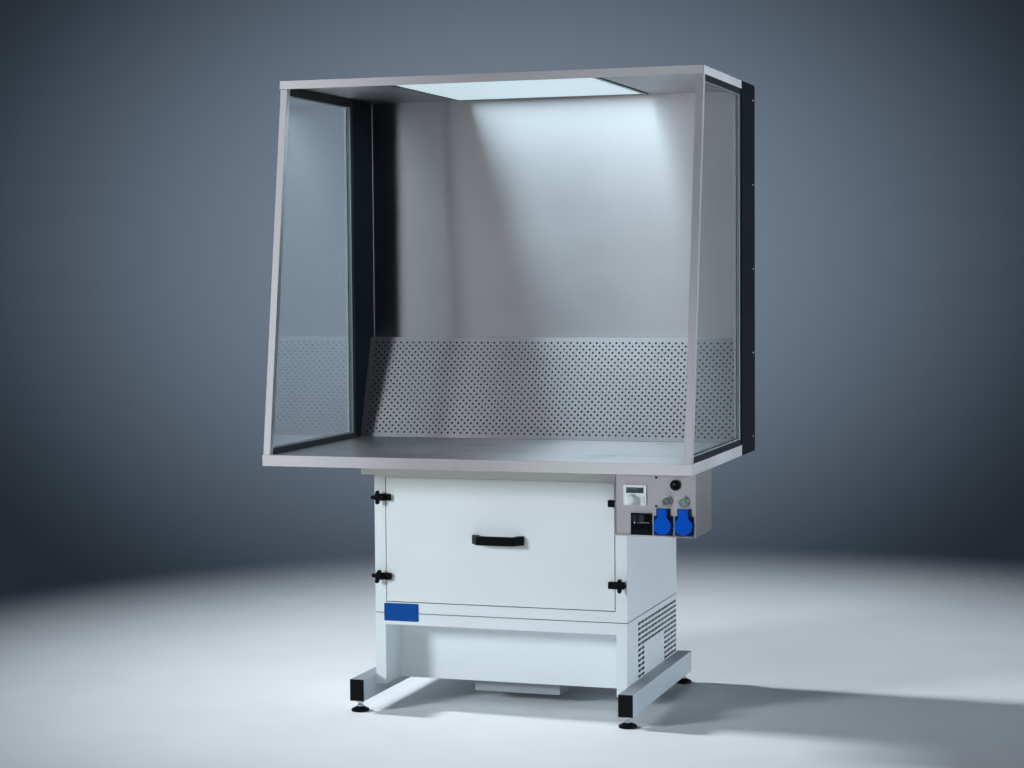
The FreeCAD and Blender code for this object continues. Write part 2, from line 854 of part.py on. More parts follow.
def intake_cut(z0, z1):
    """The slot behind the sloping panel that leads the air down."""
    return box(-intake_half, intake_half, intake_front, intake_rear, z0, z1)


def worktop():
    """A stainless sheet folded down all round, with the intake slot at the back."""
    rear = back_front - plate_gap
    tray = tee(0, worktop_underside, work_height, front, rear)
    tray = tray.cut(tee(sheet, worktop_underside, work_height - sheet, front, rear))
    return tray.cut(intake_cut(work_height - sheet, work_height))


def worktop_core():
    """The board that fills the worktop's folded edge."""
    rear = back_front - plate_gap
    board = tee(sheet + plate_gap, worktop_underside, work_height - sheet, front, rear)
    return board.cut(intake_cut(worktop_underside, work_height - sheet))


def column_screw_points():
    """Heights of the screws down the rear edge of each column."""
    low = worktop_underside + column_screw_rise
    step = (hood_top - column_screw_rise - low) / (column_screw_count - 1)
    return [(column_rear - column_screw_inset, low + step * i) for i in range(column_screw_count)]


def column_block(inset):
    """The right column's outline, drawn in by an inset, with a round corner at the top of its back."""
    rear = column_rear - inset
    top = hood_top - inset
    block = box(column_inner + inset, half_width - inset, column_front + inset, rear,
                worktop_underside, top)
    corner = [edge for edge in block.Edges if edge.CenterOfMass.y > rear - sheet / 2
              and edge.CenterOfMass.z > top - sheet / 2]
    return block.makeFillet(column_corner - inset, corner)


def column_sides():
    """Hollow folded panels beside the back wall, from under the worktop to the roof."""
    panel = column_block(0).cut(column_block(sheet))
    for y, z in column_screw_points():
        panel = panel.cut(rod(screw_radius + screw_hole_clearance, (half_width - sheet, y, z),
                              (half_width, y, z)))
    return both_sides(panel)


def back_wall():
    """A hollow folded panel that closes the hood at the back."""
    half = column_inner
    panel = box(-half, half, back_front, column_rear, worktop_underside, hood_top)
    return panel.cut(box(-half + sheet, half - sheet, back_front + sheet, column_rear - sheet,
                         worktop_underside, hood_top - sheet))


def perforated_panel():
    """A sloping sheet with staggered round holes, and the ledge that joins it to the back wall."""
    width = 2 * (column_inner - plate_gap)
    run = baffle_depth_bottom - baffle_depth_top
    slope = math.hypot(run, baffle_height)
    angle = math.degrees(math.atan2(run, baffle_height))
    rows = int((slope - 2 * hole_margin) / hole_row_pitch) + 1
    columns = int((width - 2 * hole_margin) / hole_pitch)
    first_row = (slope - (rows - 1) * hole_row_pitch) / 2
    first_column = (width - (columns - 0.5) * hole_pitch) / 2
    holes = []
    for row in range(rows):
        shift = first_column + (row % 2) * hole_pitch / 2
        for column in range(columns):
            centre = Vector(shift + column * hole_pitch, first_row + row * hole_row_pitch)
            holes.append(Part.Wire(Part.makeCircle(hole_diameter / 2, centre)))
    panel = holed_plate(width, slope, holes, sheet)
    foot_y = back_front - baffle_depth_bottom
    panel.Placement = Placement(Vector(-width / 2, foot_y, work_height + plate_gap),
                                Rotation(Vector(1, 0, 0), 90 - angle))
    top = work_height + plate_gap + baffle_height
    ledge = box(-width / 2, width / 2, foot_y + run + plate_gap, back_front - plate_gap, top - sheet, top)
    return Part.makeCompound([panel, ledge])


def light_plan(inset):
    """The light panel's outline, drawn in by an inset: x0, x1, y0, y1."""
    half = light_size / 2 - inset
    centre = light_rear - light_size / 2
    return -half, half, centre - half, centre + half


def roof():
    """A hollow folded roof with a lip at the front and sides, open below for the light panel."""
    rear = back_front
    slab = tee(0, ceiling, hood_top, roof_front, rear)
    slab = slab.cut(tee(sheet, ceiling + sheet, hood_top - sheet, roof_front, rear))
    slab = slab.cut(box(*light_plan(light_flange), ceiling, ceiling + sheet))
    low = hood_top - roof_fascia
    end = column_front - plate_gap
    lips = [box(-half_width, half_width, roof_front, roof_front + sheet, low, ceiling),
            box(half_width - sheet, half_width, roof_front + sheet, end, low, ceiling),
            box(-half_width, -half_width + sheet, roof_front + sheet, end, low, ceiling)]
    return slab.fuse(lips).removeSplitter()


def light_frame():
    """The light panel's tray: a flange under the ceiling, a body inside the roof, a lip for the lens."""
    low = ceiling - light_drop
    tray_top = ceiling + light_tray_height
    flange = box(*light_plan(0), low, ceiling)
    body = box(*light_plan(light_flange + cutout_gap), ceiling, tray_top)
    lens_seat = box(*light_plan(light_border - diffuser_seat), low + light_lip, tray_top - sheet)
    window = box(*light_plan(light_border), low, low + light_lip)
    return flange.fuse(body).removeSplitter().cut([lens_seat, window])


def light_diffuser():
    """The opal sheet that lies on the light frame's lip."""
    low = ceiling - light_drop + light_lip
    return box(*light_plan(light_border - diffuser_seat + plate_gap), low, low + diffuser_thickness)


def post_line(z):
    """The y of the front post's front face at a height: it leans back from the worktop to the roof."""
    start = front + post_setback
    end = roof_front + sheet + plate_gap
    return start + (end - start) * (z - work_height) / (hood_height - roof_fascia)


def post_profile(inset_front, inset_rear, z0, z1, x):
    """A leaning four-sided outline behind the post's front face, at a given x."""
    return [(x, post_line(z0) + inset_front, z0), (x, post_line(z0) + inset_rear, z0),
            (x, post_line(z1) + inset_rear, z1), (x, post_line(z1) + inset_front, z1)]


def glass_centre():
    """The x of the middle of the right pane, post and channels."""
    return half_width - sheet - plate_gap - post_width / 2


def glass_slot():
    """Half the width of the groove that takes a pane."""
    return glass_thickness / 2 + plate_gap


def front_posts():
    """Leaning square tubes with a slot at the back for the pane."""
    x0 = glass_centre() - post_width / 2
    slot = glass_slot()
    post = prism(post_profile(0, post_width, work_height, ceiling, x0), (post_width, 0, 0))
    core = prism(post_profile(sheet, post_width - sheet, work_height, ceiling, x0 + sheet),
                 (post_width - 2 * sheet, 0, 0))
    mouth = prism(post_profile(post_width - 2 * sheet, post_width + sheet, work_height, ceiling,
                               glass_centre() - slot), (2 * slot, 0, 0))
    return both_sides(post.cut([core, mouth]))


def rail_profile(z0, z1, x):
    """The outline of a channel between the post and the rear channel."""
    rear = column_front - plate_gap - channel_depth_rear
    ahead = post_width + plate_gap
    return [(x, post_line(z0) + ahead, z0), (x, rear, z0), (x, rear, z1), (x, post_line(z1) + ahead, z1)]


def glass_channels():
    """The channels that hold each pane below, above and behind."""
    x0 = glass_centre() - post_width / 2
    x1 = glass_centre() + post_width / 2
    slot = glass_slot()
    left = glass_centre() - slot
    right = glass_centre() + slot
    low_top = work_height + channel_height_bottom
    high_low = ceiling - channel_height_top
    rear = column_front - plate_gap
    rear_start = rear - channel_depth_rear
    bottom = prism(rail_profile(work_height, low_top, x0), (post_width, 0, 0)).cut(
        box(left, right, front, rear, low_top - glass_engagement, low_top))
    top = prism(rail_profile(high_low, ceiling, x0), (post_width, 0, 0)).cut(
        box(left, right, front, rear, high_low, high_low + glass_engagement))
    back = box(x0, x1, rear_start, rear, work_height, ceiling).cut(
        box(left, right, rear_start, rear_start + glass_engagement,
            low_top - glass_engagement, high_low + glass_engagement))
    return Part.makeCompound([both_sides(piece) for piece in (bottom, top, back)])


def side_glass():
    """The two clear panes, cut to the lean of the posts and let into the post and channels."""
    z0 = work_height + channel_height_bottom - glass_engagement + plate_gap
    z1 = ceiling - channel_height_top + glass_engagement - plate_gap
    rear = column_front - plate_gap - channel_depth_rear + glass_engagement - plate_gap
    x = glass_centre() - glass_thickness / 2
    ahead = post_width - glass_engagement
    outline = [(x, post_line(z0) + ahead, z0), (x, rear, z0), (x, rear, z1), (x, post_line(z1) + ahead, z1)]
    return both_sides(prism(outline, (glass_thickness, 0, 0)))


def on_plate(place):
    """A device's place on the control plate in the bench's own x and z."""
    return box_left + place[0], box_bottom + place[1]


def plate_block(place, size, y0, y1):
    """A block centred on a place of the control plate."""
    x, z = on_plate(place)
    return box(x - size[0] / 2, x + size[0] / 2, y0, y1, z - size[1] / 2, z + size[1] / 2)


def plate_rod(place, radius, y0, y1):
    """A round bar through a place of the control plate, square to it."""
    x, z = on_plate(place)
    return rod(radius, (x, y0, z), (x, y1, z))


def gland_place():
    """Centre of the cable gland in the control box's rear wall: x and z."""
    return (box_left + box_right) / 2, box_bottom + gland_height


def side_screw_points():
    """The two screws in the right side of the control box: y and z."""
    return [(plate_back + side_screw_front, worktop_underside - side_screw_top),
            (box_rear - side_screw_inset, box_bottom + side_screw_inset)]


def control_box():
    """A folded box under the worktop, open at the front, with the cable gland's hole behind."""
    shell = box(box_left, box_right, plate_back, box_rear, box_bottom, worktop_underside)
    shell = shell.cut(box(box_left + sheet, box_right - sheet, plate_back, box_rear - sheet,
                          box_bottom + sheet, worktop_underside - sheet))
    x, z = gland_place()
    shell = shell.cut(rod(gland_radius + screw_hole_clearance, (x, box_rear - sheet, z), (x, box_rear, z)))
    for y, height in side_screw_points():
        shell = shell.cut(rod(screw_radius + screw_hole_clearance, (box_right - sheet, y, height),
                              (box_right, y, height)))
    return shell


def controller_cut():
    """Size of the controller's body behind the plate."""
    return controller_width - 2 * controller_body_inset, controller_height - 2 * controller_body_inset


def control_plate():
    """The front plate of the control box, cut out for each device."""
    plate = box(box_left, box_right, plate_front, plate_back, box_bottom, worktop_underside)
    hole = tuple(size + 2 * cutout_gap for size in controller_cut())
    plate = plate.cut(plate_block(controller_place, hole, plate_front, plate_back))
    monitor_hole = monitor_size - 2 * monitor_body_inset + 2 * cutout_gap
    plate = plate.cut(plate_block(monitor_place, (monitor_hole, monitor_hole), plate_front, plate_back))
    for place in button_places.values():
        plate = plate.cut(plate_rod(place, button_barrel_radius + cutout_gap, plate_front, plate_back))
    for place in socket_places.values():
        plate = plate.cut(plate_rod(place, socket_body_radius + cutout_gap, plate_front, plate_back))
    for place in plate_screw_places:
        plate = plate.cut(plate_rod(place, screw_radius + screw_hole_clearance, plate_front, plate_back))
    return plate


def screw(point, inward):
    """A pan-head screw seated on a surface at a point, its shank along the inward direction."""
    start = Vector(*point)
    along = Vector(*inward)
    head = Part.makeCylinder(screw_head_radius, screw_head_height, start, along * -1)
    crown = [edge for edge in head.Edges if rounded(edge)
             and (edge.CenterOfMass - start).Length > screw_head_height / 2]
    head = head.makeFillet(min(screw_crown, screw_head_height / 2), crown)
    return head.fuse(Part.makeCylinder(screw_radius, screw_length, start, along)).removeSplitter()


def panel_screws():
    """The screws that show: two in the control plate, two in its box, a row in each column."""
    screws = []
    for place in plate_screw_places:
        x, z = on_plate(place)
        screws.append(screw((x, plate_front, z), (0, 1, 0)))
    for y, z in side_screw_points():
        screws.append(screw((box_right, y, z), (-1, 0, 0)))
    for y, z in column_screw_points():
        screws.append(both_sides(screw((half_width, y, z), (-1, 0, 0))))
    return Part.makeCompound(screws)


def controller_body():
    """The white controller: a bezel on the plate, a body behind it, a recess for the display."""
    face = plate_front - controller_bezel
    bezel = plate_block(controller_place, (controller_width, controller_height), face, plate_front)
    bezel = bezel.makeFillet(controller_corner, [edge for edge in bezel.Edges if crosswise(edge)])
    body = plate_block(controller_place, controller_cut(), plate_front, plate_front + controller_body_depth)
    recess = plate_block(display_place, (display_width, display_height), face, face + display_recess)
    bore = plate_rod(dial_place, dial_shaft_radius + running_clearance, face, face + dial_shaft_length)
    key_hole = (key_width + 2 * key_gap, key_length + 2 * key_gap)
    pocket = plate_block(key_place, key_hole, face, face + key_depth)
    return bezel.fuse(body).removeSplitter().cut([recess, bore, pocket])


def speed_dial():
    """A tall round dial with a raised grip bar, on a short shaft."""
    face = plate_front - controller_bezel - plate_gap
    low = face - dial_height
    x, z = on_plate(dial_place)
    knob = plate_rod(dial_place, dial_radius, low + dial_grip, face)
    grip = box(x - dial_grip / 2, x + dial_grip / 2, low, low + dial_grip, z - dial_radius, z + dial_radius)
    grip = grip.common(plate_rod(dial_place, dial_radius, low, low + dial_grip))
    shaft = plate_rod(dial_place, dial_shaft_radius, face, face + dial_shaft_length)
    return knob.fuse([grip, shaft]).removeSplitter()


def controller_key():
    """A soft key that stands a little out of the controller's face."""
    face = plate_front - controller_bezel
    return plate_block(key_place, (key_width, key_length), face - key_height,
                       face + key_depth - key_height - plate_gap)


def filter_monitor():
    """A square instrument with a raised rim and a body behind the plate."""
    face = plate_front - monitor_bezel
    bezel = plate_block(monitor_place, (monitor_size, monitor_size), face, plate_front)
    window = monitor_size - 2 * monitor_body_inset
    bezel = bezel.cut(plate_block(monitor_place, (window, window), face, face + monitor_window))
    body = plate_block(monitor_place, (window, window), plate_front, plate_front + monitor_body_depth)
    return bezel.fuse(body).removeSplitter()


def button_body(place):
    """A bezel ring, the barrel through the plate and the contact block, with a hole for the stem."""
    ring = plate_rod(place, button_bezel_radius, plate_front - button_bezel_height, plate_front)
    floor = plate_front - button_well_floor
    rim = [edge for edge in ring.Edges if rounded(edge) and edge.CenterOfMass.y < floor]
    ring = ring.makeFillet(min(button_bezel_round, button_bezel_wall * 0.6), rim)
    well = plate_rod(place, button_barrel_radius, plate_front - button_bezel_height, plate_front)
    barrel_end = plate_front + button_barrel_length
    barrel = plate_rod(place, button_barrel_radius, floor, barrel_end)
    block = plate_block(place, (button_block, button_block), barrel_end, barrel_end + button_block_depth)
    bore = plate_rod(place, button_stem_radius + running_clearance, plate_front - button_bezel_height,
                     barrel_end + button_stem_pocket)
    return ring.cut(well).fuse([barrel, block]).removeSplitter().cut(bore)


def button_bodies():
    """The fixed bodies of the three push-buttons."""
    return Part.makeCompound([button_body(place) for place in button_places.values()])


def button_cap(place):
    """A domed cap in its bezel, on a stem that reaches the contact block."""
    seat = plate_front - button_cap_seat
    face = plate_front - button_bezel_height - button_cap_rise
    cap = plate_rod(place, button_cap_radius, face, seat)
    rim = [edge for edge in cap.Edges if rounded(edge) and edge.CenterOfMass.y < face + button_dome / 2]
    cap = cap.makeFillet(button_dome, rim)
    stem_end = plate_front + button_barrel_length + button_stem_reach
    stem = plate_rod(place, button_stem_radius, seat, stem_end)
    return cap.fuse(stem).removeSplitter()


def lid_axis(place):
    """The hinge line of a socket's lid: y and z."""
    return plate_front - lid_axis_out, on_plate(place)[1] + lid_axis_height


def lid_face():
    """The y of the inner face of a closed lid, just clear of the socket's collar."""
    return plate_front - socket_flange_thickness - socket_collar_height - lid_gap


def socket_body(place):
    """A square flange with a round collar and recess, contact holes, and two ears for the lid's pin."""
    x, z = on_plate(place)
    out = plate_front - socket_flange_thickness
    collar_face = out - socket_collar_height
    flange = plate_block(place, (socket_flange, socket_flange), out, plate_front)
    flange = flange.makeFillet(socket_corner, [edge for edge in flange.Edges if crosswise(edge)])
    recess_radius = socket_body_radius - socket_wall
    collar = plate_rod(place, recess_radius + socket_collar_wall, collar_face, out)
    body = plate_rod(place, socket_body_radius, plate_front, plate_front + socket_body_depth)
    axis_y, axis_z = lid_axis(place)
    ear_inner = lid_neck_width / 2 + ear_gap
    ear_low = z + socket_flange / 2 - ear_root
    ear_high = axis_z + lid_knuckle_radius
    ears = []
    for side in (-1, 1):
        x0, x1 = sorted((x + side * ear_inner, x + side * (ear_inner + ear_thickness)))
        ears.append(box(x0, x1, axis_y - lid_knuckle_radius, plate_front, ear_low, ear_high))
    whole = flange.fuse([collar, body] + ears).removeSplitter()
    reach = ear_inner + ear_thickness
    pin_bore = rod(lid_pin_radius + running_clearance,
                   (x - reach, axis_y, axis_z), (x + reach, axis_y, axis_z))
    recess_end = collar_face + socket_recess_depth
    contact_end = recess_end + socket_contact_depth
    cuts = [pin_bore, plate_rod(place, recess_radius, collar_face, recess_end)]
    for side in (-1, 1):
        contact = (place[0] + side * socket_contact_spacing / 2, place[1])
        cuts.append(plate_rod(contact, socket_contact_radius, recess_end, contact_end))
    return whole.cut(cuts)


def socket_bodies():
    """The fixed bodies of the two sockets."""
    return Part.makeCompound([socket_body(place) for place in socket_places.values()])


def socket_lid(place):
    """A round lid with a neck up to its knuckle, and the pin that turns in the socket's ears."""
    x, z = on_plate(place)
    inner = lid_face()
    outer = inner - lid_thickness
    axis_y, axis_z = lid_axis(place)
    half = lid_neck_width / 2
    disc = plate_rod(place, socket_flange / 2 - lid_edge_inset, outer, inner)
    neck = box(x - half, x + half, outer, inner, z, axis_z)
    knuckle = rod(lid_knuckle_radius, (x - half, axis_y, axis_z), (x + half, axis_y, axis_z))
    arm = box(x - half, x + half, outer, axis_y, axis_z - lid_knuckle_radius, axis_z + lid_knuckle_radius)
    reach = half + ear_gap + ear_thickness
    pin = rod(lid_pin_radius, (x - reach, axis_y, axis_z), (x + reach, axis_y, axis_z))
    return disc.fuse([neck, knuckle, arm, pin]).removeSplitter()


def cable_gland():
    """A gland in the rear of the control box: nut inside, hexagon and dome outside, bored for the cable."""
    x, z = gland_place()
    wall_out = box_rear
    nut_end = box_rear - sheet - gland_nut_length
    thread = rod(gland_radius, (x, nut_end, z), (x, wall_out, z))
    pieces = []
    for start, length in ((nut_end, gland_nut_length), (wall_out, gland_hex_length)):
        bar = hexagon(gland_across, (0, 0, 0), length)
        bar.Placement = Placement(Vector(x, start, z), Rotation(Vector(1, 0, 0), -90))
        pieces.append(bar)
    dome_start = wall_out + gland_hex_length
    dome_end = dome_start + gland_dome_length
    pieces.append(rod(gland_dome_radius, (x, dome_start, z), (x, dome_end, z)))
    bore = rod(gland_bore_radius, (x, nut_end, z), (x, dome_end, z))
    return thread.fuse(pieces).removeSplitter().cut(bore)


def label_plate():
    """A bare plate on the front, across the joint between the two modules."""
    left = -cabinet_half + label_left_inset
    low = module_split - label_below_split
    plate = box(left, left + label_width, cabinet_front - label_thickness, cabinet_front,
                low, low + label_height)
    return plate.makeFillet(label_corner, [edge for edge in plate.Edges if crosswise(edge)])


os.makedirs("parts", exist_ok=True)

export("base_beams", base_beams())
export("beam_end_caps", beam_end_caps())
for row, foot_y in zip(("front", "rear"), foot_rows()):
    export("foot_" + row + "_left", foot(-beam_centre, foot_y))
    export("foot_" + row + "_right", foot(beam_centre, foot_y))
export("foot_nuts", foot_nuts())

export("fan_side_left", mirrored(fan_side()))
export("fan_side_right", slotted_fan_side())
export("front_apron", front_apron())
export("rear_panels", rear_panels())
export("fan_floor", fan_floor())
export("bottom_pan", bottom_pan())
export("divider_plate", divider_plate())
export("fan_motor", fan_motor())
export("fan_impeller", fan_impeller())
export("fan_inlet_ring", fan_inlet_ring())

export("cabinet_sides", cabinet_sides())
export("door_frame", door_frame())
export("intake_duct", intake_duct())
export("filter_door", filter_door())
export("door_gasket", door_gasket())
export("door_handle", door_handle())
export("latch_blocks", latch_blocks())
for name, side, height in knob_points():
    export("latch_knob_" + name, latch_knob(side, height))
export("carbon_filter", filter_cassette(carbon_low, carbon_height))
export("particle_filter", filter_cassette(particle_low, particle_height))
export("prefilter", filter_cassette(prefilter_low, prefilter_height))
export("filter_rails", filter_rails())

export("top_frame", top_frame())
export("worktop", worktop())
export("worktop_core", worktop_core())

export("column_sides", column_sides())
export("back_wall", back_wall())
export("perforated_panel", perforated_panel())
export("roof", roof())
export("light_frame", light_frame())
export("light_diffuser", light_diffuser())
export("front_posts", front_posts())
export("glass_channels", glass_channels())
export("side_glass", side_glass())

export("control_box", control_box())
export("control_plate", control_plate())
export("panel_screws", panel_screws())
export("controller_body", controller_body())
export("speed_dial", speed_dial())
export("controller_key", controller_key())
export("filter_monitor", filter_monitor())
export("button_bodies", button_bodies())
for colour, place in button_places.items():
    export("button_" + colour, button_cap(place))
export("socket_bodies", socket_bodies())
for side, place in socket_places.items():
    export("socket_lid_" + side, socket_lid(place))
export("cable_gland", cable_gland())
export("label_plate", label_plate())
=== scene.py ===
import math

import bpy
from mathutils import Matrix, Vector


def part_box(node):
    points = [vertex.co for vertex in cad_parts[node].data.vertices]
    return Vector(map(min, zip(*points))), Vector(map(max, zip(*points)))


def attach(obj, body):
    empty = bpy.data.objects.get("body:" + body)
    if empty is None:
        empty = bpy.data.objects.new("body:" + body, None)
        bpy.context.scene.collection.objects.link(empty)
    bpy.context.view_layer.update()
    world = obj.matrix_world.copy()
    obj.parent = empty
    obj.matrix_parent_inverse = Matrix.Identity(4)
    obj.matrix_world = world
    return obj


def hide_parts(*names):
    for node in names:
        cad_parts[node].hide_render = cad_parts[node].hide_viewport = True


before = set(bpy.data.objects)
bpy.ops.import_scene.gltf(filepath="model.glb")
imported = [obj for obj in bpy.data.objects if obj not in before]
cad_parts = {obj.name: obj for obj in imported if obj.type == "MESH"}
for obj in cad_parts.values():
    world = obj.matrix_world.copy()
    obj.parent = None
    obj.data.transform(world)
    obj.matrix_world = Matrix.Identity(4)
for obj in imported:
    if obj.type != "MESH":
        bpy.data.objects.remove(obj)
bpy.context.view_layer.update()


# Base beams: two lengths of rectangular steel tube that lie front to back and carry the bench.
# Cut square, welded and powder coated, a thin even skin with a fine orange peel; their mid grey, darker than
# the cabinet's coat, is painted shade where they lie low in the bench's shadow.
cloud_scale = 4.0
bump_strength = 0.6


def connect(material, node, sockets):
    """Gives sockets of a node, by name or number, a value each or the output that feeds them."""
    for name, value in sockets.items():
        if isinstance(value, bpy.types.NodeSocket):
            material.node_tree.links.new(value, node.inputs[name])
        else:
            node.inputs[name].default_value = value


def add_node(material, kind, sockets=None, **settings):
    """Adds a shader node with its sockets and settings."""
    made = material.node_tree.nodes.new("ShaderNode" + kind)
    for name, value in settings.items():
        setattr(made, name, value)
    connect(material, made, sockets or {})
    return made


def object_place(material):
    """The place on the object, for patterns that stay with it."""
    return add_node(material, "TexCoord").outputs["Object"]


def figure(material, operation, *values):
    """The result of one sum on values or on the outputs of other nodes."""
    return add_node(material, "Math", dict(enumerate(values)), operation=operation).outputs["Value"]


def ramp(material, fraction, first, last):
    """A colour that runs from the first to the last with a fraction."""
    made = add_node(material, "ValToRGB", {"Fac": fraction})
    made.color_ramp.elements[0].color = (*first, 1)
    made.color_ramp.elements[1].color = (*last, 1)
    return made.outputs["Color"]


def shader_of(material):
    """The main shader of a finish, for the values that are the same all over it."""
    return material.node_tree.nodes["Principled BSDF"]


def grained(name, dark, light, roughness, grain, relief, stretch=(1, 1, 1), metallic=0.0, edge=0.0008,
            specular=0.5):
    """A finish from a fine grain and broad clouds: they vary its colour, its sheen and its relief."""
    material = bpy.data.materials.new(name)
    material.use_nodes = True
    place = object_place(material)
    drawn_out = add_node(material, "Mapping", {"Vector": place, "Scale": stretch}).outputs["Vector"]
    fine = add_node(material, "TexNoise", {"Vector": drawn_out, "Scale": grain, "Detail": 3.0}).outputs["Fac"]
    clouds = add_node(material, "TexNoise", {"Vector": place, "Scale": cloud_scale, "Detail": 5.0})
    both = figure(material, "ADD", fine, clouds.outputs["Fac"])
    spread = add_node(material, "MapRange",
                      {"Value": both, "From Min": 0.7, "From Max": 1.3}).outputs["Result"]
    sheen = add_node(material, "MapRange", {"Value": spread, "To Min": roughness[0], "To Max": roughness[1]})
    corner = add_node(material, "Bevel", {"Radius": edge}, samples=4)
    bump = add_node(material, "Bump", {"Strength": bump_strength, "Distance": relief, "Height": fine,
                                       "Normal": corner.outputs["Normal"]})
    connect(material, shader_of(material), {
        "Base Color": ramp(material, spread, dark, light), "Roughness": sheen.outputs["Result"],
        "Normal": bump.outputs["Normal"], "Metallic": metallic, "Specular IOR Level": specular})
    return material


def dress(material, *names):
    """Gives CAD nodes a finish in every material slot that they have."""
    for name in names:
        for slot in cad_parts[name].material_slots:
            slot.material = material


# The beams' coat is a darker grey than the cabinet's: painted shade.
beam_coat_painted_shade = grained("grey powder coat", (0.47, 0.53, 0.57), (0.52, 0.58, 0.62), (0.36, 0.48), 900, 0.00004)
dress(beam_coat_painted_shade, "base_beams")


# Beam end caps: moulded nylon plugs that are knocked into the open ends of the tube.
# Black right through, with the slight satin of an eroded mould.
black_nylon = grained("black nylon", (0.0022, 0.0027, 0.0034), (0.0050, 0.0058, 0.0068), (0.34, 0.50),
                      1400, 0.00005, specular=0.1)
dress(black_nylon, "beam_end_caps")


# Levelling feet: a moulded black pad with a coned top, and a zinc plated stud that swivels in it.
# The stud is turned and threaded, and screws up into the beam.
pad_profile = ((0.0238, 0), (0.0250, 0.0012), (0.0250, 0.0052), (0.0240, 0.0068), (0.0225, 0.0076),
               (0.0112, 0.0132), (0.0104, 0.0140))
collar_profile = ((0.0090, 0.0138), (0.0090, 0.0168), (0.0082, 0.0176), (0.0052, 0.0178))
thread_top = 0.074
thread_pitch = 0.00175
thread_crest = 0.0060
thread_root = 0.0052


def turned(name, place, profile, sides=48, towards_front=False):
    """Turns a piece as on a lathe: a circle is extruded from one radius and height to the next."""
    bpy.ops.object.select_all(action="DESELECT")
    radius, height = profile[0]
    bpy.ops.mesh.primitive_circle_add(vertices=sides, radius=radius, fill_type="NGON",
                                      location=(0, 0, height))
    piece = bpy.context.object
    piece.name = name
    bpy.ops.object.mode_set(mode="EDIT")
    bpy.ops.mesh.select_all(action="SELECT")
    for (last_radius, last_height), (radius, height) in zip(profile, profile[1:]):
        bpy.ops.mesh.extrude_region_move(TRANSFORM_OT_translate={"value": (0, 0, height - last_height)})
        bpy.ops.transform.resize(value=(radius / last_radius, radius / last_radius, 1))
    bpy.ops.mesh.select_all(action="SELECT")
    bpy.ops.mesh.normals_make_consistent(inside=False)
    bpy.ops.object.mode_set(mode="OBJECT")
    bpy.ops.object.transform_apply(location=True, rotation=True, scale=True)
    piece.rotation_euler = (math.radians(90) if towards_front else 0, 0, 0)
    piece.location = place
    bpy.ops.object.transform_apply(location=True, rotation=True, scale=True)
    bpy.ops.object.shade_smooth_by_angle(angle=math.radians(32))
    return piece


def copied(piece, name, place):
    """A copy with its own mesh, put in place by a matrix that goes into the mesh."""
    twin = piece.copy()
    twin.data = piece.data.copy()
    twin.name = name
    twin.data.transform(place)
    bpy.context.scene.collection.objects.link(twin)
    return twin


def coat(piece, material):
    """Gives a new piece its finish."""
    piece.data.materials.clear()
    piece.data.materials.append(material)


def fix(piece, material, body="bench"):
    """Gives a new piece its finish and lets it ride on a body."""
    coat(piece, material)
    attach(piece, body)


def middle(node):
    """The middle of a CAD node's box."""
    low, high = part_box(node)
    return (low + high) / 2


zinc = grained("bright zinc", (0.55, 0.57, 0.60), (0.72, 0.74, 0.76), (0.18, 0.34), 500, 0.00003,
               metallic=1.0)
thread_turns = int((thread_top - collar_profile[-1][1]) / thread_pitch)
thread_profile = []
for turn in range(thread_turns):
    start = collar_profile[-1][1] + turn * thread_pitch
    thread_profile += [(thread_root, start + thread_pitch * 0.3), (thread_crest, start + thread_pitch * 0.5),
                       (thread_crest, start + thread_pitch * 0.7), (thread_root, start + thread_pitch * 0.9)]
first_pad = turned("first_pad", (0, 0, 0), pad_profile)
first_stud = turned("first_stud", (0, 0, 0), list(collar_profile) + thread_profile, sides=32)
for foot in ("front_left", "front_right", "rear_left", "rear_right"):
    spot = middle("foot_" + foot)
    place = Matrix.Translation((spot.x, spot.y, 0))
    pad = copied(first_pad, "foot_pad_" + foot, place)
    fix(pad, black_nylon, "foot_" + foot)
    fix(copied(first_stud, "foot_stud_" + foot, place), zinc, "foot_" + foot)
    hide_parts("foot_" + foot)
for pattern in (first_pad, first_stud):
    bpy.data.objects.remove(pattern)


# Lock nuts: pressed hexagon nuts, one under each end of the beams, that hold the studs at their height.
# Zinc plated like the studs.
dress(zinc, "foot_nuts")


# Fan module: side sheets folded round into the front legs, an apron folded three ways, rear panels and
# Laser cut, folded and powder coated a paler grey than the beams, whose darker grey is painted shade; the pan
# below is darker still, painted shade where it lies under the bench.
powder_coat = grained("pale grey powder coat", (0.70, 0.75, 0.76), (0.76, 0.81, 0.82), (0.36, 0.48),
                      900, 0.00004)
# The pan's darker grey is painted shade under the bench.
pan_coat_painted_shade = grained("pan coat darkened as painted shade", (0.27, 0.295, 0.31), (0.31, 0.335, 0.35), (0.40, 0.52), 900, 0.00004)
dress(powder_coat, "fan_side_left", "fan_side_right", "front_apron", "rear_panels", "fan_floor")
dress(pan_coat_painted_shade, "bottom_pan")


# Fan: a backward curved impeller on an external rotor motor, with a spun inlet ring above it.
# Galvanised sheet with the spangle of the zinc bath, the motor in dark grey paint.
spangle_dark = (0.42, 0.44, 0.46)
spangle_light = (0.62, 0.64, 0.66)
spangle_metal = 0.9
crystal_scale = 160.0


def spangled(name):
    """Galvanised sheet: crystals of zinc a few millimetres across, each with its own grey."""
    material = grained(name, spangle_dark, spangle_light, (0.28, 0.46), 220, 0.00002, metallic=spangle_metal)
    crystals = add_node(material, "TexVoronoi", {"Vector": object_place(material), "Scale": crystal_scale})
    tone = ramp(material, crystals.outputs["Color"], spangle_dark, spangle_light)
    connect(material, shader_of(material), {"Base Color": tone})
    return material


galvanised = spangled("galvanised sheet")
motor_paint = grained("dark grey motor paint", (0.020, 0.022, 0.026), (0.034, 0.037, 0.042), (0.30, 0.46),
                      500, 0.00006)
dress(galvanised, "fan_impeller", "fan_inlet_ring")
dress(motor_paint, "fan_motor")


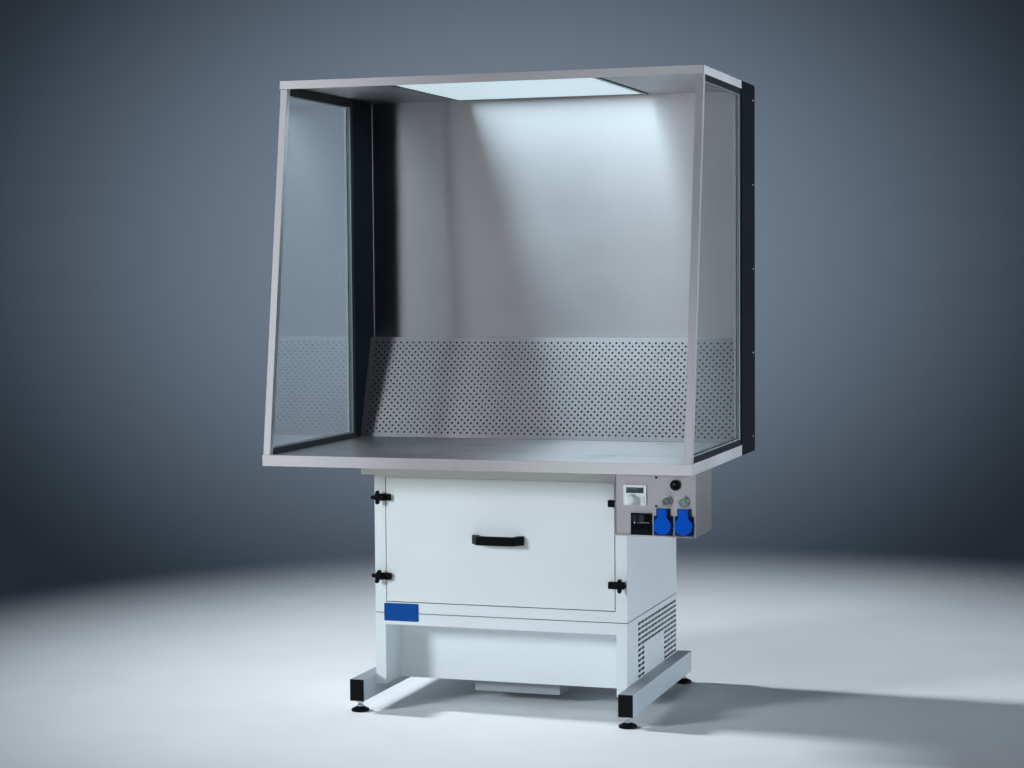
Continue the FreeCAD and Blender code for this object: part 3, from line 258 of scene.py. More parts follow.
# Filter cabinet: a divider over the fan, two side sheets, the front frame round the door and the duct
# that brings the air down from the hood. Folded sheet, spot welded and powder coated.
dress(powder_coat, "divider_plate", "cabinet_sides", "door_frame", "intake_duct", "top_frame")


# Filters: a prefilter mat, a pleated particle filter and a carbon cassette, one above the other.
# Each has a galvanised frame round its medium and lies on a pair of angle rails.
filter_rim = 0.020


def blended(material, share, first, second):
    """A colour between two others, with a share of the second."""
    mix = add_node(material, "Mix", {"Factor": share, 6: first, 7: second}, data_type="RGBA")
    return mix.outputs[2]


def cassette(name, node, dark, light, scale, relief, pleated=False):
    """A filter's finish: the medium inside the rim, galvanised frame round it."""
    material = spangled(name)
    shader = shader_of(material)
    frame_tone = shader.inputs["Base Color"].links[0].from_socket
    frame_normal = shader.inputs["Normal"].links[0].from_socket
    low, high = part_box(node)
    half = (high - low) / 2
    place = object_place(material)
    centred = add_node(material, "Mapping", {"Vector": place, "Location": -middle(node)})
    axes = add_node(material, "SeparateXYZ", {"Vector": centred.outputs["Vector"]})
    inside = []
    for axis, reach in (("X", half.x - filter_rim), ("Y", half.y - filter_rim)):
        away = figure(material, "ABSOLUTE", axes.outputs[axis])
        inside.append(figure(material, "LESS_THAN", away, reach))
    mask = figure(material, "MULTIPLY", *inside)
    if pleated:
        medium = add_node(material, "TexWave", {"Vector": place, "Scale": scale, "Distortion": 0.6},
                          bands_direction="X").outputs["Fac"]
    else:
        medium = add_node(material, "TexVoronoi", {"Vector": place, "Scale": scale}).outputs["Distance"]
    bump = add_node(material, "Bump", {"Distance": relief, "Height": medium}).outputs["Normal"]
    normal = add_node(material, "Mix", {"Factor": mask, 4: frame_normal, 5: bump}, data_type="VECTOR")
    metal = add_node(material, "MapRange", {"Value": mask, "To Min": spangle_metal, "To Max": 0.0})
    connect(material, shader, {
        "Base Color": blended(material, mask, frame_tone, ramp(material, medium, dark, light)),
        "Normal": normal.outputs[1], "Metallic": metal.outputs["Result"]})
    dress(material, node)


cassette("prefilter mat", "prefilter", (0.62, 0.63, 0.62), (0.80, 0.81, 0.79), 420, 0.0010)
cassette("pleated paper", "particle_filter", (0.52, 0.51, 0.47), (0.86, 0.86, 0.82), 40, 0.0060, pleated=True)
cassette("carbon granules", "carbon_filter", (0.010, 0.010, 0.011), (0.045, 0.045, 0.047), 300, 0.0016)
dress(galvanised, "filter_rails")


# Door: a folded panel that lifts off for changing the filters, sealed by a foam rubber gasket.
# Powder coated like the cabinet, with a bow handle moulded in glass filled nylon.
foam_rubber = grained("foam rubber", (0.010, 0.010, 0.011), (0.024, 0.024, 0.025), (0.72, 0.90),
                      1800, 0.00025)
dress(powder_coat, "filter_door")
dress(foam_rubber, "door_gasket")
dress(black_nylon, "door_handle", "latch_blocks")


# Hand screws: four cross shaped knobs that clamp the door through their latch blocks.
# Moulded black nylon over a zinc plated stud; the one at the lower left stands a little turned.
arm_width = 0.0105
arm_thickness = 0.0082
knob_span = 0.038
hub_radius = 0.0085
hub_rise = 0.0008
collar_depth = 0.004
arm_end_round = 0.0048
arm_root_round = 0.0022
knob_edge = 0.0011
screw_stud_radius = 0.0040
stud_chamfer = 0.001
tip_share = 0.8
turned_knob = {"lower_left": math.radians(14)}


def block(name, low, high):
    """Starts a piece as a cube between two corners, the only thing that is selected."""
    bpy.ops.object.select_all(action="DESELECT")
    bpy.ops.mesh.primitive_cube_add(size=1, location=(Vector(low) + Vector(high)) / 2)
    piece = bpy.context.object
    piece.name = name
    piece.scale = Vector(high) - Vector(low)
    bpy.ops.object.transform_apply(location=True, rotation=True, scale=True)
    return piece


def select_faces(piece, wanted):
    """Edit mode with only the faces selected whose middle and normal are wanted."""
    bpy.ops.object.mode_set(mode="EDIT")
    bpy.ops.mesh.select_mode(type="FACE")
    bpy.ops.mesh.select_all(action="DESELECT")
    bpy.ops.object.mode_set(mode="OBJECT")
    for face in piece.data.polygons:
        face.select = bool(wanted(face.center, face.normal))
    bpy.ops.object.mode_set(mode="EDIT")


def select_edges(piece, wanted):
    """Edit mode with only the edges selected whose two ends are wanted."""
    bpy.ops.object.mode_set(mode="EDIT")
    bpy.ops.mesh.select_mode(type="EDGE")
    bpy.ops.mesh.select_all(action="DESELECT")
    bpy.ops.object.mode_set(mode="OBJECT")
    for edge in piece.data.edges:
        start, end = (piece.data.vertices[i].co for i in edge.vertices)
        edge.select = bool(wanted(start, end))
    bpy.ops.object.mode_set(mode="EDIT")


def apply_modifier(piece, kind, **settings):
    """Adds a modifier to a piece and applies it."""
    bpy.ops.object.select_all(action="DESELECT")
    piece.select_set(True)
    bpy.context.view_layer.objects.active = piece
    modifier = piece.modifiers.new(kind.title(), kind)
    for name, value in settings.items():
        setattr(modifier, name, value)
    bpy.ops.object.modifier_apply(modifier=modifier.name)


def round_edges(piece, width, segments=3, sharper_than=40):
    """Rounds every sharp edge of a piece and shades it smooth."""
    apply_modifier(piece, "BEVEL", width=width, segments=segments, limit_method="ANGLE",
                   angle_limit=math.radians(sharper_than))
    bpy.ops.object.shade_smooth_by_angle(angle=math.radians(50))


def fuse(piece, other, operation="UNION"):
    """Fuses another shape into a piece, or cuts it out, and removes the other."""
    apply_modifier(piece, "BOOLEAN", operation=operation, object=other, solver="EXACT")
    bpy.data.objects.remove(other)


def runs_along_y(start, end):
    """An edge that runs front to back."""
    return abs(start.y - end.y) > 1e-4


half_arm = arm_width / 2
knob = block("first_knob", (-half_arm, 0, -half_arm), (half_arm, arm_thickness, half_arm))
select_faces(knob, lambda centre, normal: abs(normal.y) < 0.5)
bpy.ops.mesh.extrude_faces_move(TRANSFORM_OT_shrink_fatten={"value": knob_span / 2 - half_arm})
bpy.ops.object.mode_set(mode="OBJECT")
select_edges(knob, lambda start, end: runs_along_y(start, end)
             and max(abs(start.x), abs(start.z)) > half_arm * 2)
bpy.ops.mesh.bevel(offset=arm_end_round, segments=6, affect="EDGES")
bpy.ops.object.mode_set(mode="OBJECT")
select_edges(knob, lambda start, end: runs_along_y(start, end)
             and max(abs(start.x), abs(start.z)) < half_arm * 1.05)
bpy.ops.mesh.bevel(offset=arm_root_round, segments=4, affect="EDGES")
bpy.ops.object.mode_set(mode="OBJECT")
hub = turned("hub", (0, arm_thickness + collar_depth, 0),
             ((hub_radius, 0), (hub_radius, collar_depth + arm_thickness + hub_rise)), towards_front=True)
fuse(knob, hub)
round_edges(knob, knob_edge)
stud_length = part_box("latch_knob_lower_left")[1].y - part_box("latch_knob_lower_left")[0].y
stud = turned("first_screw_stud", (0, stud_length - hub_rise, 0),
              ((screw_stud_radius * tip_share, 0), (screw_stud_radius, stud_chamfer),
               (screw_stud_radius, stud_length - hub_rise - arm_thickness)), sides=24, towards_front=True)
for corner in ("lower_left", "lower_right", "upper_left", "upper_right"):
    node = "latch_knob_" + corner
    spot = middle(node)
    place = Matrix.Translation((spot.x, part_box(node)[0].y + hub_rise, spot.z))
    place = place @ Matrix.Rotation(turned_knob.get(corner, 0), 4, "Y")
    grip = copied(knob, "hand_screw_" + corner, place)
    fix(grip, black_nylon, "knob_" + corner)
    fix(copied(stud, "hand_screw_stud_" + corner, place), zinc, "knob_" + corner)
    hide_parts(node)
for pattern in (knob, stud):
    bpy.data.objects.remove(pattern)


# Module seal: a strip of foam rubber, pinched in the joint between the fan module and the cabinet, that is
# painted shade: it stands for the shadow in the joint's gap as a thin dark line all round.
seal_height = 0.0016
seal_proud = 0.0002
seal_width = 0.0012
seal_round = 0.0001
cabinet_low, cabinet_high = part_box("door_frame")
seal_low = Vector((cabinet_low.x - seal_proud, cabinet_low.y - seal_proud, cabinet_low.z - seal_height / 2))
seal_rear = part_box("cabinet_sides")[1].y + seal_proud
seal_high = Vector((cabinet_high.x + seal_proud, seal_rear, seal_low.z + seal_height))
seal_inset = Vector((seal_width, seal_width, -seal_height))
joint_shade_seal = block("joint_shade_seal", seal_low, seal_high)
fuse(joint_shade_seal, block("seal_core", seal_low + seal_inset, seal_high - seal_inset), "DIFFERENCE")
round_edges(joint_shade_seal, seal_round, segments=1)
# The dark strip is painted shade for the joint's gap.
fix(joint_shade_seal, foam_rubber)


# Label plate: a bare blue plate on the front, across the joint between cabinet and fan module.
# Printed film on thin sheet, stuck on, with a soft satin.
blue_film = grained("blue film", (0.004, 0.060, 0.27), (0.006, 0.078, 0.33), (0.30, 0.42), 700, 0.00003,
                    specular=0.15)
dress(blue_film, "label_plate")


# Worktop: a stainless tray with its edges folded down, glued over a core board.
# Ground along its length, so that reflections are drawn out across the grain.
steel_dark = (0.56, 0.535, 0.54)
steel_light = (0.66, 0.635, 0.64)
grain_length = 2
grain_width = 1600
grain_relief = 0.000005
fold_limit = 0.7


def brushed(name, along, roughness, shade=1.0, anisotropy=0.9, edge=0.0015, metallic=1.0):
    """Ground stainless sheet: fine scratches along one axis draw reflections out across them.

    Where the sheet is folded round square to that axis, the scratches run upwards."""
    # shade scales the steel's colour part by part: below 1 it is painted shade, above 1 painted light.
    stretch = [grain_length if share else grain_width for share in along]
    dark, light = ([shade * part for part in tone] for tone in (steel_dark, steel_light))
    material = grained(name, dark, light, roughness, 1.0, grain_relief, stretch, metallic, edge)
    facing = add_node(material, "NewGeometry").outputs["True Normal"]
    across = add_node(material, "VectorMath", {0: facing, 1: along}, operation="DOT_PRODUCT").outputs["Value"]
    folded = figure(material, "GREATER_THAN", figure(material, "ABSOLUTE", across), fold_limit)
    direction = add_node(material, "Mix", {"Factor": folded, 4: along, 5: (0, 0, 1)}, data_type="VECTOR")
    connect(material, shader_of(material), {"Tangent": direction.outputs[1], "Anisotropic": anisotropy,
                                            "Anisotropic Rotation": 0.25})
    return material


core_board = grained("pressed core board", (0.30, 0.19, 0.10), (0.50, 0.36, 0.22), (0.75, 0.92), 260, 0.0003)
# The worktop's steel is brightened by 1.15: painted light.
worktop_steel = brushed("worktop steel", (1, 0, 0), roughness=(0.26, 0.36), shade=1.15, metallic=0.84)
dress(core_board, "worktop_core")
dress(worktop_steel, "worktop")


# Hood: two hollow rear columns, a back wall and a hollow roof with a lip, all folded sheet.
# The wall and the roof are stainless, ground along the bench; behind the intake the wall's front face is
# coloured black, painted shade for the dark cavity behind the panel's holes.
# The columns are coated dark anthracite, and a pale bead along their corners with the wall is a painted
# highlight of the lit edge there.
bead = 0.0020
bead_round = 0.0007
# Black for painted shade, behind the intake and in the light frame's border, and for the black bezel's real
# coat.
shade_and_coat_black = (0.012, 0.013, 0.014)
painted_shade_drop = 0.004
painted_shade_depth = 0.003


def tinted(material, colour, *bounds):
    """Gives another colour to the part of a finish that lies within all the bounds.

    A bound is an axis, a place on it, and whether the part lies above or below that place."""
    shader = shader_of(material)
    tone = shader.inputs["Base Color"].links[0].from_socket
    axes = add_node(material, "SeparateXYZ", {"Vector": object_place(material)})
    mask = 1.0
    for axis, limit, side in bounds:
        compare = "LESS_THAN" if side == "below" else "GREATER_THAN"
        mask = figure(material, "MULTIPLY", figure(material, compare, axes.outputs[axis], limit), mask)
    connect(material, shader, {"Base Color": blended(material, mask, tone, (*colour, 1))})


wall_low, wall_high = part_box("back_wall")
intake_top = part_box("perforated_panel")[1].z
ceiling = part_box("light_frame")[0].z
# The wall's steel is darkened to 0.92 and the roof's brightened to 1.08: painted shade and painted light.
wall_steel = brushed("back wall steel", (1, 0, 0), roughness=(0.30, 0.36), shade=0.92, anisotropy=1.0)
# Behind the intake the wall is coloured black: painted shade.
tinted(wall_steel, shade_and_coat_black, ("Z", intake_top - painted_shade_drop, "below"),
       ("Y", wall_low.y + painted_shade_depth, "below"))
anthracite = grained("dark anthracite coat", (0.008, 0.011, 0.015), (0.013, 0.017, 0.022), (0.30, 0.42),
                     900, 0.00004, specular=0.02)
highlight_bead = grained("pale sealant", (0.42, 0.46, 0.48), (0.50, 0.54, 0.56), (0.35, 0.50), 700, 0.00005)
dress(wall_steel, "back_wall")
dress(brushed("roof steel", (1, 0, 0), roughness=(0.32, 0.42), shade=1.08), "roof")
dress(anthracite, "column_sides")
# Pale beads in the corners between the columns and the wall: painted highlight.
inner_face = wall_high.x
for side, outward in (("left", -1), ("right", 1)):
    start = Vector((outward * inner_face, wall_low.y, intake_top))
    end = Vector((outward * (inner_face - bead), wall_low.y - bead, ceiling))
    corners = [Vector(map(choose, start, end)) for choose in (min, max)]
    strip = block("corner_bead_" + side, *corners)
    round_edges(strip, bead_round)
    fix(strip, highlight_bead)


# Intake panel: a sloping stainless sheet, punched with staggered round holes, and the ledge above it.
# The air of the hood is drawn through it and down behind. One cell with its hole is drawn flat, repeated
# along a row and over the rows, framed by plain margins, and then given its thickness and its slope.
intake_low, intake_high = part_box("perforated_panel")
intake_thickness = 0.0015
intake_run = 0.095
intake_rise = 0.297
ledge_gap = 0.0003
hole_diameter = 0.0065
hole_sides = 16
hole_pitch = 0.020
hole_columns = 57
row_pitch = 0.010
row_count = 29
weld = 0.00001


def joined(name, pieces):
    """Joins like pieces into one object."""
    bpy.ops.object.select_all(action="DESELECT")
    for piece in pieces:
        piece.select_set(True)
    bpy.context.view_layer.objects.active = pieces[0]
    bpy.ops.object.join()
    pieces[0].name = name
    return pieces[0]


def flat_sheet(low, high, columns, rows):
    """A flat grid of plain faces between two corners."""
    bpy.ops.object.select_all(action="DESELECT")
    bpy.ops.mesh.primitive_grid_add(x_subdivisions=columns, y_subdivisions=rows, size=1,
                                    location=((low[0] + high[0]) / 2, (low[1] + high[1]) / 2, 0))
    piece = bpy.context.object
    piece.scale = (high[0] - low[0], high[1] - low[1], 1)
    bpy.ops.object.transform_apply(location=True, rotation=True, scale=True)
    return piece


intake_width = intake_high.x - intake_low.x
intake_slope = math.hypot(intake_run, intake_rise)
intake_lean = math.atan2(intake_run, intake_rise)
punched_width = (hole_columns + 0.5) * hole_pitch
side_margin = (intake_width - punched_width) / 2
end_margin = (intake_slope - row_count * row_pitch) / 2
cell = flat_sheet((-hole_pitch / 2, -row_pitch / 2), (hole_pitch / 2, row_pitch / 2), 2, 1)
select_edges(cell, lambda start, end: abs(start.x) < weld and abs(end.x) < weld)
bpy.ops.mesh.dissolve_edges(use_verts=False)
bpy.ops.mesh.select_all(action="SELECT")
bpy.ops.mesh.delete(type="ONLY_FACE")
bpy.ops.mesh.primitive_circle_add(vertices=hole_sides, radius=hole_diameter / 2, fill_type="NOTHING",
                                  location=(0, 0, 0))
bpy.ops.mesh.select_all(action="SELECT")
bpy.ops.mesh.fill(use_beauty=True)
bpy.ops.object.mode_set(mode="OBJECT")
cell.data.transform(Matrix.Translation((hole_pitch / 2, 0, 0)))
apply_modifier(cell, "ARRAY", count=hole_columns, use_relative_offset=False, use_constant_offset=True,
               constant_offset_displace=(hole_pitch, 0, 0))
row_end = flat_sheet((hole_columns * hole_pitch, -row_pitch / 2), (punched_width, row_pitch / 2), 1, 1)
first_row = joined("first_row", [cell, row_end])
first_row.data.transform(Matrix.Translation((-punched_width / 2, 0, 0)))
flat_pieces = []
for row in range(row_count):
    place = Matrix.Translation((intake_width / 2, end_margin + (row + 0.5) * row_pitch, 0))
    turn = Matrix.Rotation(math.pi * (row % 2), 4, "Z")
    flat_pieces.append(copied(first_row, "hole_row", place @ turn))
bpy.data.objects.remove(first_row)
stops_across = (0, side_margin, intake_width - side_margin, intake_width)
stops_up = (0, end_margin, intake_slope - end_margin, intake_slope)
for column, columns in enumerate((1, 2 * hole_columns + 1, 1)):
    for row, rows in enumerate((1, row_count, 1)):
        if (column, row) != (1, 1):
            margin_low = (stops_across[column], stops_up[row])
            margin_high = (stops_across[column + 1], stops_up[row + 1])
            flat_pieces.append(flat_sheet(margin_low, margin_high, columns, rows))
intake_sheet = joined("intake_sheet", flat_pieces)
bpy.ops.object.mode_set(mode="EDIT")
bpy.ops.mesh.select_all(action="SELECT")
bpy.ops.mesh.remove_doubles(threshold=weld)
bpy.ops.mesh.extrude_region_move(TRANSFORM_OT_translate={"value": (0, 0, intake_thickness)})
bpy.ops.mesh.select_all(action="SELECT")
bpy.ops.mesh.normals_make_consistent(inside=False)
bpy.ops.object.mode_set(mode="OBJECT")
foot_y = intake_low.y + intake_thickness * math.cos(intake_lean)
intake_sheet.data.transform(Matrix.Translation((intake_low.x, foot_y, intake_low.z))
                            @ Matrix.Rotation(math.pi / 2 - intake_lean, 4, "X"))
ledge_top = intake_low.z + intake_rise
ledge = block("intake_ledge", (intake_low.x, foot_y + intake_run + ledge_gap, ledge_top - intake_thickness),
              (intake_high.x, intake_high.y, ledge_top))
intake_sheet = joined("intake_sheet", [intake_sheet, ledge])
# The intake's steel is darkened to 0.9: painted shade.
intake_steel = brushed("intake panel steel", (1, 0, 0), roughness=(0.28, 0.34), shade=0.9, anisotropy=1.0,
                       edge=0.0001, metallic=0.84)
fix(intake_sheet, intake_steel)
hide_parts("perforated_panel")


# Light panel: a square tray in the roof with a narrow frame and an opal sheet in front of its lamps.
# Satin aluminium with a dark groove painted as shade along each side of its border, and acrylic with a fine
# prism pattern that glows evenly.
border = 0.014
groove_share = 0.34
satin_aluminium = grained("satin aluminium", (0.62, 0.63, 0.64), (0.74, 0.75, 0.76), (0.30, 0.44), 800,
                          0.00002, metallic=1.0)
tray_low, tray_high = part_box("light_frame")
half_tray = (tray_high.x - tray_low.x) / 2
tray_centred = add_node(satin_aluminium, "Mapping", {"Vector": object_place(satin_aluminium),
                                                     "Location": -middle("light_frame")})
tray_axes = add_node(satin_aluminium, "SeparateXYZ", {"Vector": tray_centred.outputs["Vector"]})
off_axis = [figure(satin_aluminium, "ABSOLUTE", tray_axes.outputs[axis]) for axis in ("X", "Y")]
across_border = add_node(satin_aluminium, "MapRange", {"Value": figure(satin_aluminium, "MAXIMUM", *off_axis),
                                                       "From Min": half_tray - border, "From Max": half_tray})
# Two bands of the border are coloured black: painted shade for its groove.
painted_groove_shade = add_node(satin_aluminium, "ValToRGB", {"Fac": across_border.outputs["Result"]})
painted_groove_shade.color_ramp.interpolation = "CONSTANT"
painted_groove_shade.color_ramp.elements[1].position = groove_share
painted_groove_shade.color_ramp.elements.new(1 - groove_share).color = (0, 0, 0, 1)
tray_tone = shader_of(satin_aluminium).inputs["Base Color"].links[0].from_socket
connect(satin_aluminium, shader_of(satin_aluminium), {
    "Base Color": blended(satin_aluminium, painted_groove_shade.outputs["Color"], (*shade_and_coat_black, 1), tray_tone)})
dress(satin_aluminium, "light_frame")
glow_dark = (0.62, 0.80, 0.90)
glow_light = (0.72, 0.89, 0.98)
glow_strength = 0.74
opal = grained("lit opal sheet", (0.40, 0.44, 0.45), (0.46, 0.50, 0.51), (0.42, 0.55), 600, 0.0002)
prisms = add_node(opal, "TexVoronoi", {"Vector": object_place(opal), "Scale": 380.0})
glow = ramp(opal, prisms.outputs["Distance"], glow_dark, glow_light)
connect(opal, shader_of(opal), {"Emission Color": glow, "Emission Strength": glow_strength})
dress(opal, "light_diffuser")


# Glass sides: a sloping front post, channels along the edges and one clear pane on each side.
# Folded stainless posts, channels of pale sealing profile that are coloured black within their depths as
# painted shade, with a pale lip, toughened greenish glass.
channel_depths = {"low": 0.020, "high": 0.026, "rear": 0.030}
lip_low = 0.003
lip_high = 0.001
lip_rear = 0.010
painted_channel_shade = (0.005, 0.006, 0.008)
# The posts' steel is brightened by 1.25: painted highlight.
post_steel = brushed("post steel", (0, 0, 1), roughness=(0.34, 0.44), shade=1.25, anisotropy=0.35,
                     edge=0.0018)
seal_profile = grained("sealing profile", (0.40, 0.46, 0.48), (0.46, 0.52, 0.54), (0.36, 0.50), 700, 0.00004,
                       specular=0.25)
channel_low, channel_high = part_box("glass_channels")
# Within the depths at the worktop, the roof and the column the profile is coloured black: painted shade where
# it sits set in.
tinted(seal_profile, painted_channel_shade, ("Z", channel_low.z + channel_depths["low"] - lip_low, "below"))
tinted(seal_profile, painted_channel_shade, ("Z", channel_high.z - channel_depths["high"] + lip_high, "above"))
tinted(seal_profile, painted_channel_shade, ("Y", channel_high.y - channel_depths["rear"] + lip_rear, "above"))
dress(post_steel, "front_posts")
dress(seal_profile, "glass_channels")
glass = grained("toughened glass", (0.90, 0.96, 0.965), (0.93, 0.975, 0.98), (0.0, 0.02), 60, 0.000002,
                edge=0.0004)
connect(glass, shader_of(glass), {"Transmission Weight": 1.0, "IOR": 1.58})
dress(glass, "side_glass")


# Control box: a folded stainless box under the right end of the worktop, closed by a front plate.
# The plate is ground across and hemmed at its left and lower edges, and pan head screws hold it.
rim_reach = 0.0036
rim_side = 0.0022
rim_bottom = 0.0050
rim_round = 0.0010
head_profile = ((0.0032, 0), (0.0032, 0.0008), (0.0030, 0.0014), (0.0024, 0.0019), (0.0014, 0.0022))
recess_length = 0.0038
recess_width = 0.0008
recess_floor = 0.0009
recess_reach = 0.004
plate_screw_column = 0.110
plate_screw_rows = (0.0795, 0.154)
side_screws_in = (0.026, 0.012)
side_screws_up = (-0.006, 0.012)
column_screw_inset = 0.030
column_screw_rise = 0.044
column_screw_count = 5
# The box's steel is darkened to 0.42: painted shade.
box_steel = brushed("control box steel", (0, 0, 1), roughness=(0.34, 0.44), shade=0.42)
plate_steel = brushed("control plate steel", (1, 0, 0), roughness=(0.34, 0.44))
dress(box_steel, "control_box")
dress(plate_steel, "control_plate")
plate_low, plate_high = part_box("control_plate")
rim = block("plate_rim", (plate_low.x, plate_low.y - rim_reach, plate_low.z),
            (plate_high.x, plate_low.y, plate_high.z))
opening_low = plate_low + Vector((rim_side, -rim_reach * 2, rim_bottom))
opening = block("rim_opening", opening_low,
                (plate_high.x + rim_reach, plate_low.y + rim_reach, plate_high.z + rim_reach))
fuse(rim, opening, "DIFFERENCE")
round_edges(rim, rim_round)
# The hem's steel is brightened to 1.1: painted highlight along the lit lip.
fix(rim, brushed("hemmed rim steel", (1, 0, 0), roughness=(0.24, 0.34), shade=1.1))

first_screw = turned("first_screw", (0, 0, 0), head_profile, sides=24, towards_front=True)
for wide, tall in ((recess_length, recess_width), (recess_width, recess_length)):
    cutter = block("recess", (-wide / 2, -recess_reach, -tall / 2), (wide / 2, -recess_floor, tall / 2))
    fuse(first_screw, cutter, "DIFFERENCE")
plate_screws = [copied(first_screw, "plate_screw", Matrix.Translation(
    (plate_low.x + plate_screw_column, plate_low.y, plate_low.z + row))) for row in plate_screw_rows]
to_right = Matrix.Rotation(math.radians(90), 4, "Z")
to_left = Matrix.Rotation(math.radians(-90), 4, "Z")
box_low, box_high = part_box("control_box")
side_places = [(box_high.x, plate_low.y + side_screws_in[0], box_high.z + side_screws_up[0]),
               (box_high.x, box_high.y - side_screws_in[1], box_low.z + side_screws_up[1])]
sheet_screws = [copied(first_screw, "sheet_screw", Matrix.Translation(place) @ to_right)
                for place in side_places]
bench_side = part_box("worktop")[1].x
column_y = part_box("column_sides")[1].y - column_screw_inset
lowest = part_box("worktop")[0].z + column_screw_rise
column_step = (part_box("roof")[1].z - column_screw_rise - lowest) / (column_screw_count - 1)
for number in range(column_screw_count):
    height = lowest + column_step * number
    for side, turn in ((bench_side, to_right), (-bench_side, to_left)):
        place = Matrix.Translation((side, column_y, height)) @ turn
        sheet_screws.append(copied(first_screw, "sheet_screw", place))
plate_screws = joined("plate_screw_heads", plate_screws)
sheet_screws = joined("sheet_screw_heads", sheet_screws)
fix(plate_screws, black_nylon)
fix(sheet_screws, zinc)
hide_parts("panel_screws")
bpy.data.objects.remove(first_screw)


# Controller: a white moulded housing with a display, a dial and a key for the fan's speed.
# Satin ABS; the display is a dark green glass with a row of unlit figures behind it.
display_size = Vector((0.0466, 0, 0.0146))
display_rise = 0.0125
display_recess = 0.0010
display_glass = 0.0006
display_round = 0.0002
segment_long = 0.0026
segment_wide = 0.0005
segment_lift = 0.00006
segment_round = 0.00004
figure_pitch = 0.0064
figure_count = 6
mark_size = Vector((0.0060, 0.0002, 0.0008))
mark_rise = 0.0008
mark_round = 0.00008
arrow_radius = 0.0017
arrow_depth = 0.0003
arrow_round = 0.00006
arrow_spread = 0.0036
dial_skirt = ((0.0030, 0), (0.0030, 0.0120), (0.0128, 0.0120), (0.0132, 0.0126), (0.0131, 0.0200),
              (0.0128, 0.0244), (0.0121, 0.0264), (0.0108, 0.0276), (0.0080, 0.0282), (0.0040, 0.0284))
notch_width = 0.0010
notch_depth = 0.0009
notch_start = 0.001
notch_length = 0.0075
white_plastic = grained("white moulding", (0.76, 0.77, 0.76), (0.82, 0.83, 0.82), (0.28, 0.40), 1200, 0.00004)
display_green = grained("dark green display", (0.030, 0.075, 0.075), (0.045, 0.100, 0.100), (0.08, 0.16),
                        900, 0.000006)
figure_green = grained("unlit figures", (0.006, 0.016, 0.014), (0.012, 0.024, 0.022), (0.20, 0.30),
                       900, 0.000004)
dress(white_plastic, "controller_body", "controller_key")
case_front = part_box("controller_body")[0].y
case_middle = middle("controller_body")
display_middle = Vector((case_middle.x, case_front + display_recess, case_middle.z + display_rise))
pane = block("display_glass", display_middle - display_size / 2 - Vector((0, display_glass, 0)),
             display_middle + display_size / 2)
round_edges(pane, display_round, segments=2)
fix(pane, display_green)
first_segment = block("first_segment", (-segment_long / 2, -segment_lift, -segment_wide / 2),
                      (segment_long / 2, segment_lift, segment_wide / 2))
round_edges(first_segment, segment_round, segments=1)
upright = Matrix.Rotation(math.radians(90), 4, "Y")
reach = segment_long / 2 + segment_wide * 0.7
bars = [Matrix.Translation((0, 0, level * reach * 2)) for level in (-1, 0, 1)]
bars += [Matrix.Translation((side * reach, 0, level * reach)) @ upright
         for side in (-1, 1) for level in (-1, 1)]
figures = []
for number in range(figure_count):
    sideways = (number - (figure_count - 1) / 2) * figure_pitch
    spot = Matrix.Translation(display_middle + Vector((sideways, -display_glass, 0)))
    figures += [copied(first_segment, "segment", spot @ bar) for bar in bars]
fix(joined("display_figures", figures), figure_green)
bpy.data.objects.remove(first_segment)
mark_place = Vector((case_middle.x, case_front, case_middle.z + mark_rise))
mark = block("display_mark", mark_place - mark_size / 2, mark_place + mark_size / 2)
round_edges(mark, mark_round, segments=1)
fix(mark, black_nylon)

dial_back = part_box("speed_dial")[1].y
dial_middle = middle("speed_dial")
dial = turned("dial", (dial_middle.x, dial_back, dial_middle.z), dial_skirt, sides=64, towards_front=True)
dial_face = dial_back - dial_skirt[-1][1]
notch_foot = dial_middle.z + notch_start
notch = block("notch", (dial_middle.x - notch_width / 2, dial_face - notch_depth, notch_foot),
              (dial_middle.x + notch_width / 2, dial_face + notch_depth, notch_foot + notch_length))
fuse(dial, notch, "DIFFERENCE")
bpy.ops.object.shade_smooth_by_angle(angle=math.radians(32))
fix(dial, white_plastic, "dial")
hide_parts("speed_dial")

key_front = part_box("controller_key")[0].y
key_middle = middle("controller_key")
arrows = []
for upward_turn in (0, 180):
    bpy.ops.object.select_all(action="DESELECT")
    bpy.ops.mesh.primitive_cylinder_add(vertices=3, radius=arrow_radius, depth=arrow_depth,
                                        rotation=(math.radians(90), 0, 0))
    arrow = bpy.context.object
    bpy.ops.object.transform_apply(location=True, rotation=True, scale=True)
    round_edges(arrow, arrow_round, segments=1)
    turn = Matrix.Rotation(math.radians(upward_turn), 4, "Y")
    rise = arrow_spread if upward_turn else -arrow_spread
    arrow.data.transform(Matrix.Translation((key_middle.x, key_front, key_middle.z + rise)) @ turn)
    arrows.append(arrow)
fix(joined("key_arrows", arrows), motor_paint, "key")


# Filter monitor: a black moulded housing with a smoked window, a status lamp and a row of scale marks.
# Satin ABS round polished acrylic; the marks are printed pale grey.
window_size = Vector((0.0476, 0, 0.0476))
window_recess = 0.0020
window_thickness = 0.0009
window_round = 0.0003
tick_count = 9
tick_pitch = 0.0036
tick_wide = 0.0013
tick_tall = (0.0032, 0.0022)
tick_depth = 0.0001
tick_round = 0.00004
scale_offset = Vector((0.0055, 0, 0.0032))
lamp_offset = Vector((-0.0180, 0, 0.0032))
lamp_dome = ((0.0016, 0), (0.0016, 0.0003), (0.0012, 0.0007), (0.0005, 0.0009))
smoked = grained("smoked window", (0.002, 0.003, 0.004), (0.004, 0.005, 0.007), (0.06, 0.12), 500, 0.000004,
                 specular=0.2)
print_grey = grained("pale print", (0.66, 0.69, 0.70), (0.76, 0.79, 0.80), (0.40, 0.55), 900, 0.00001)
dress(black_nylon, "filter_monitor")
window_middle = middle("filter_monitor")
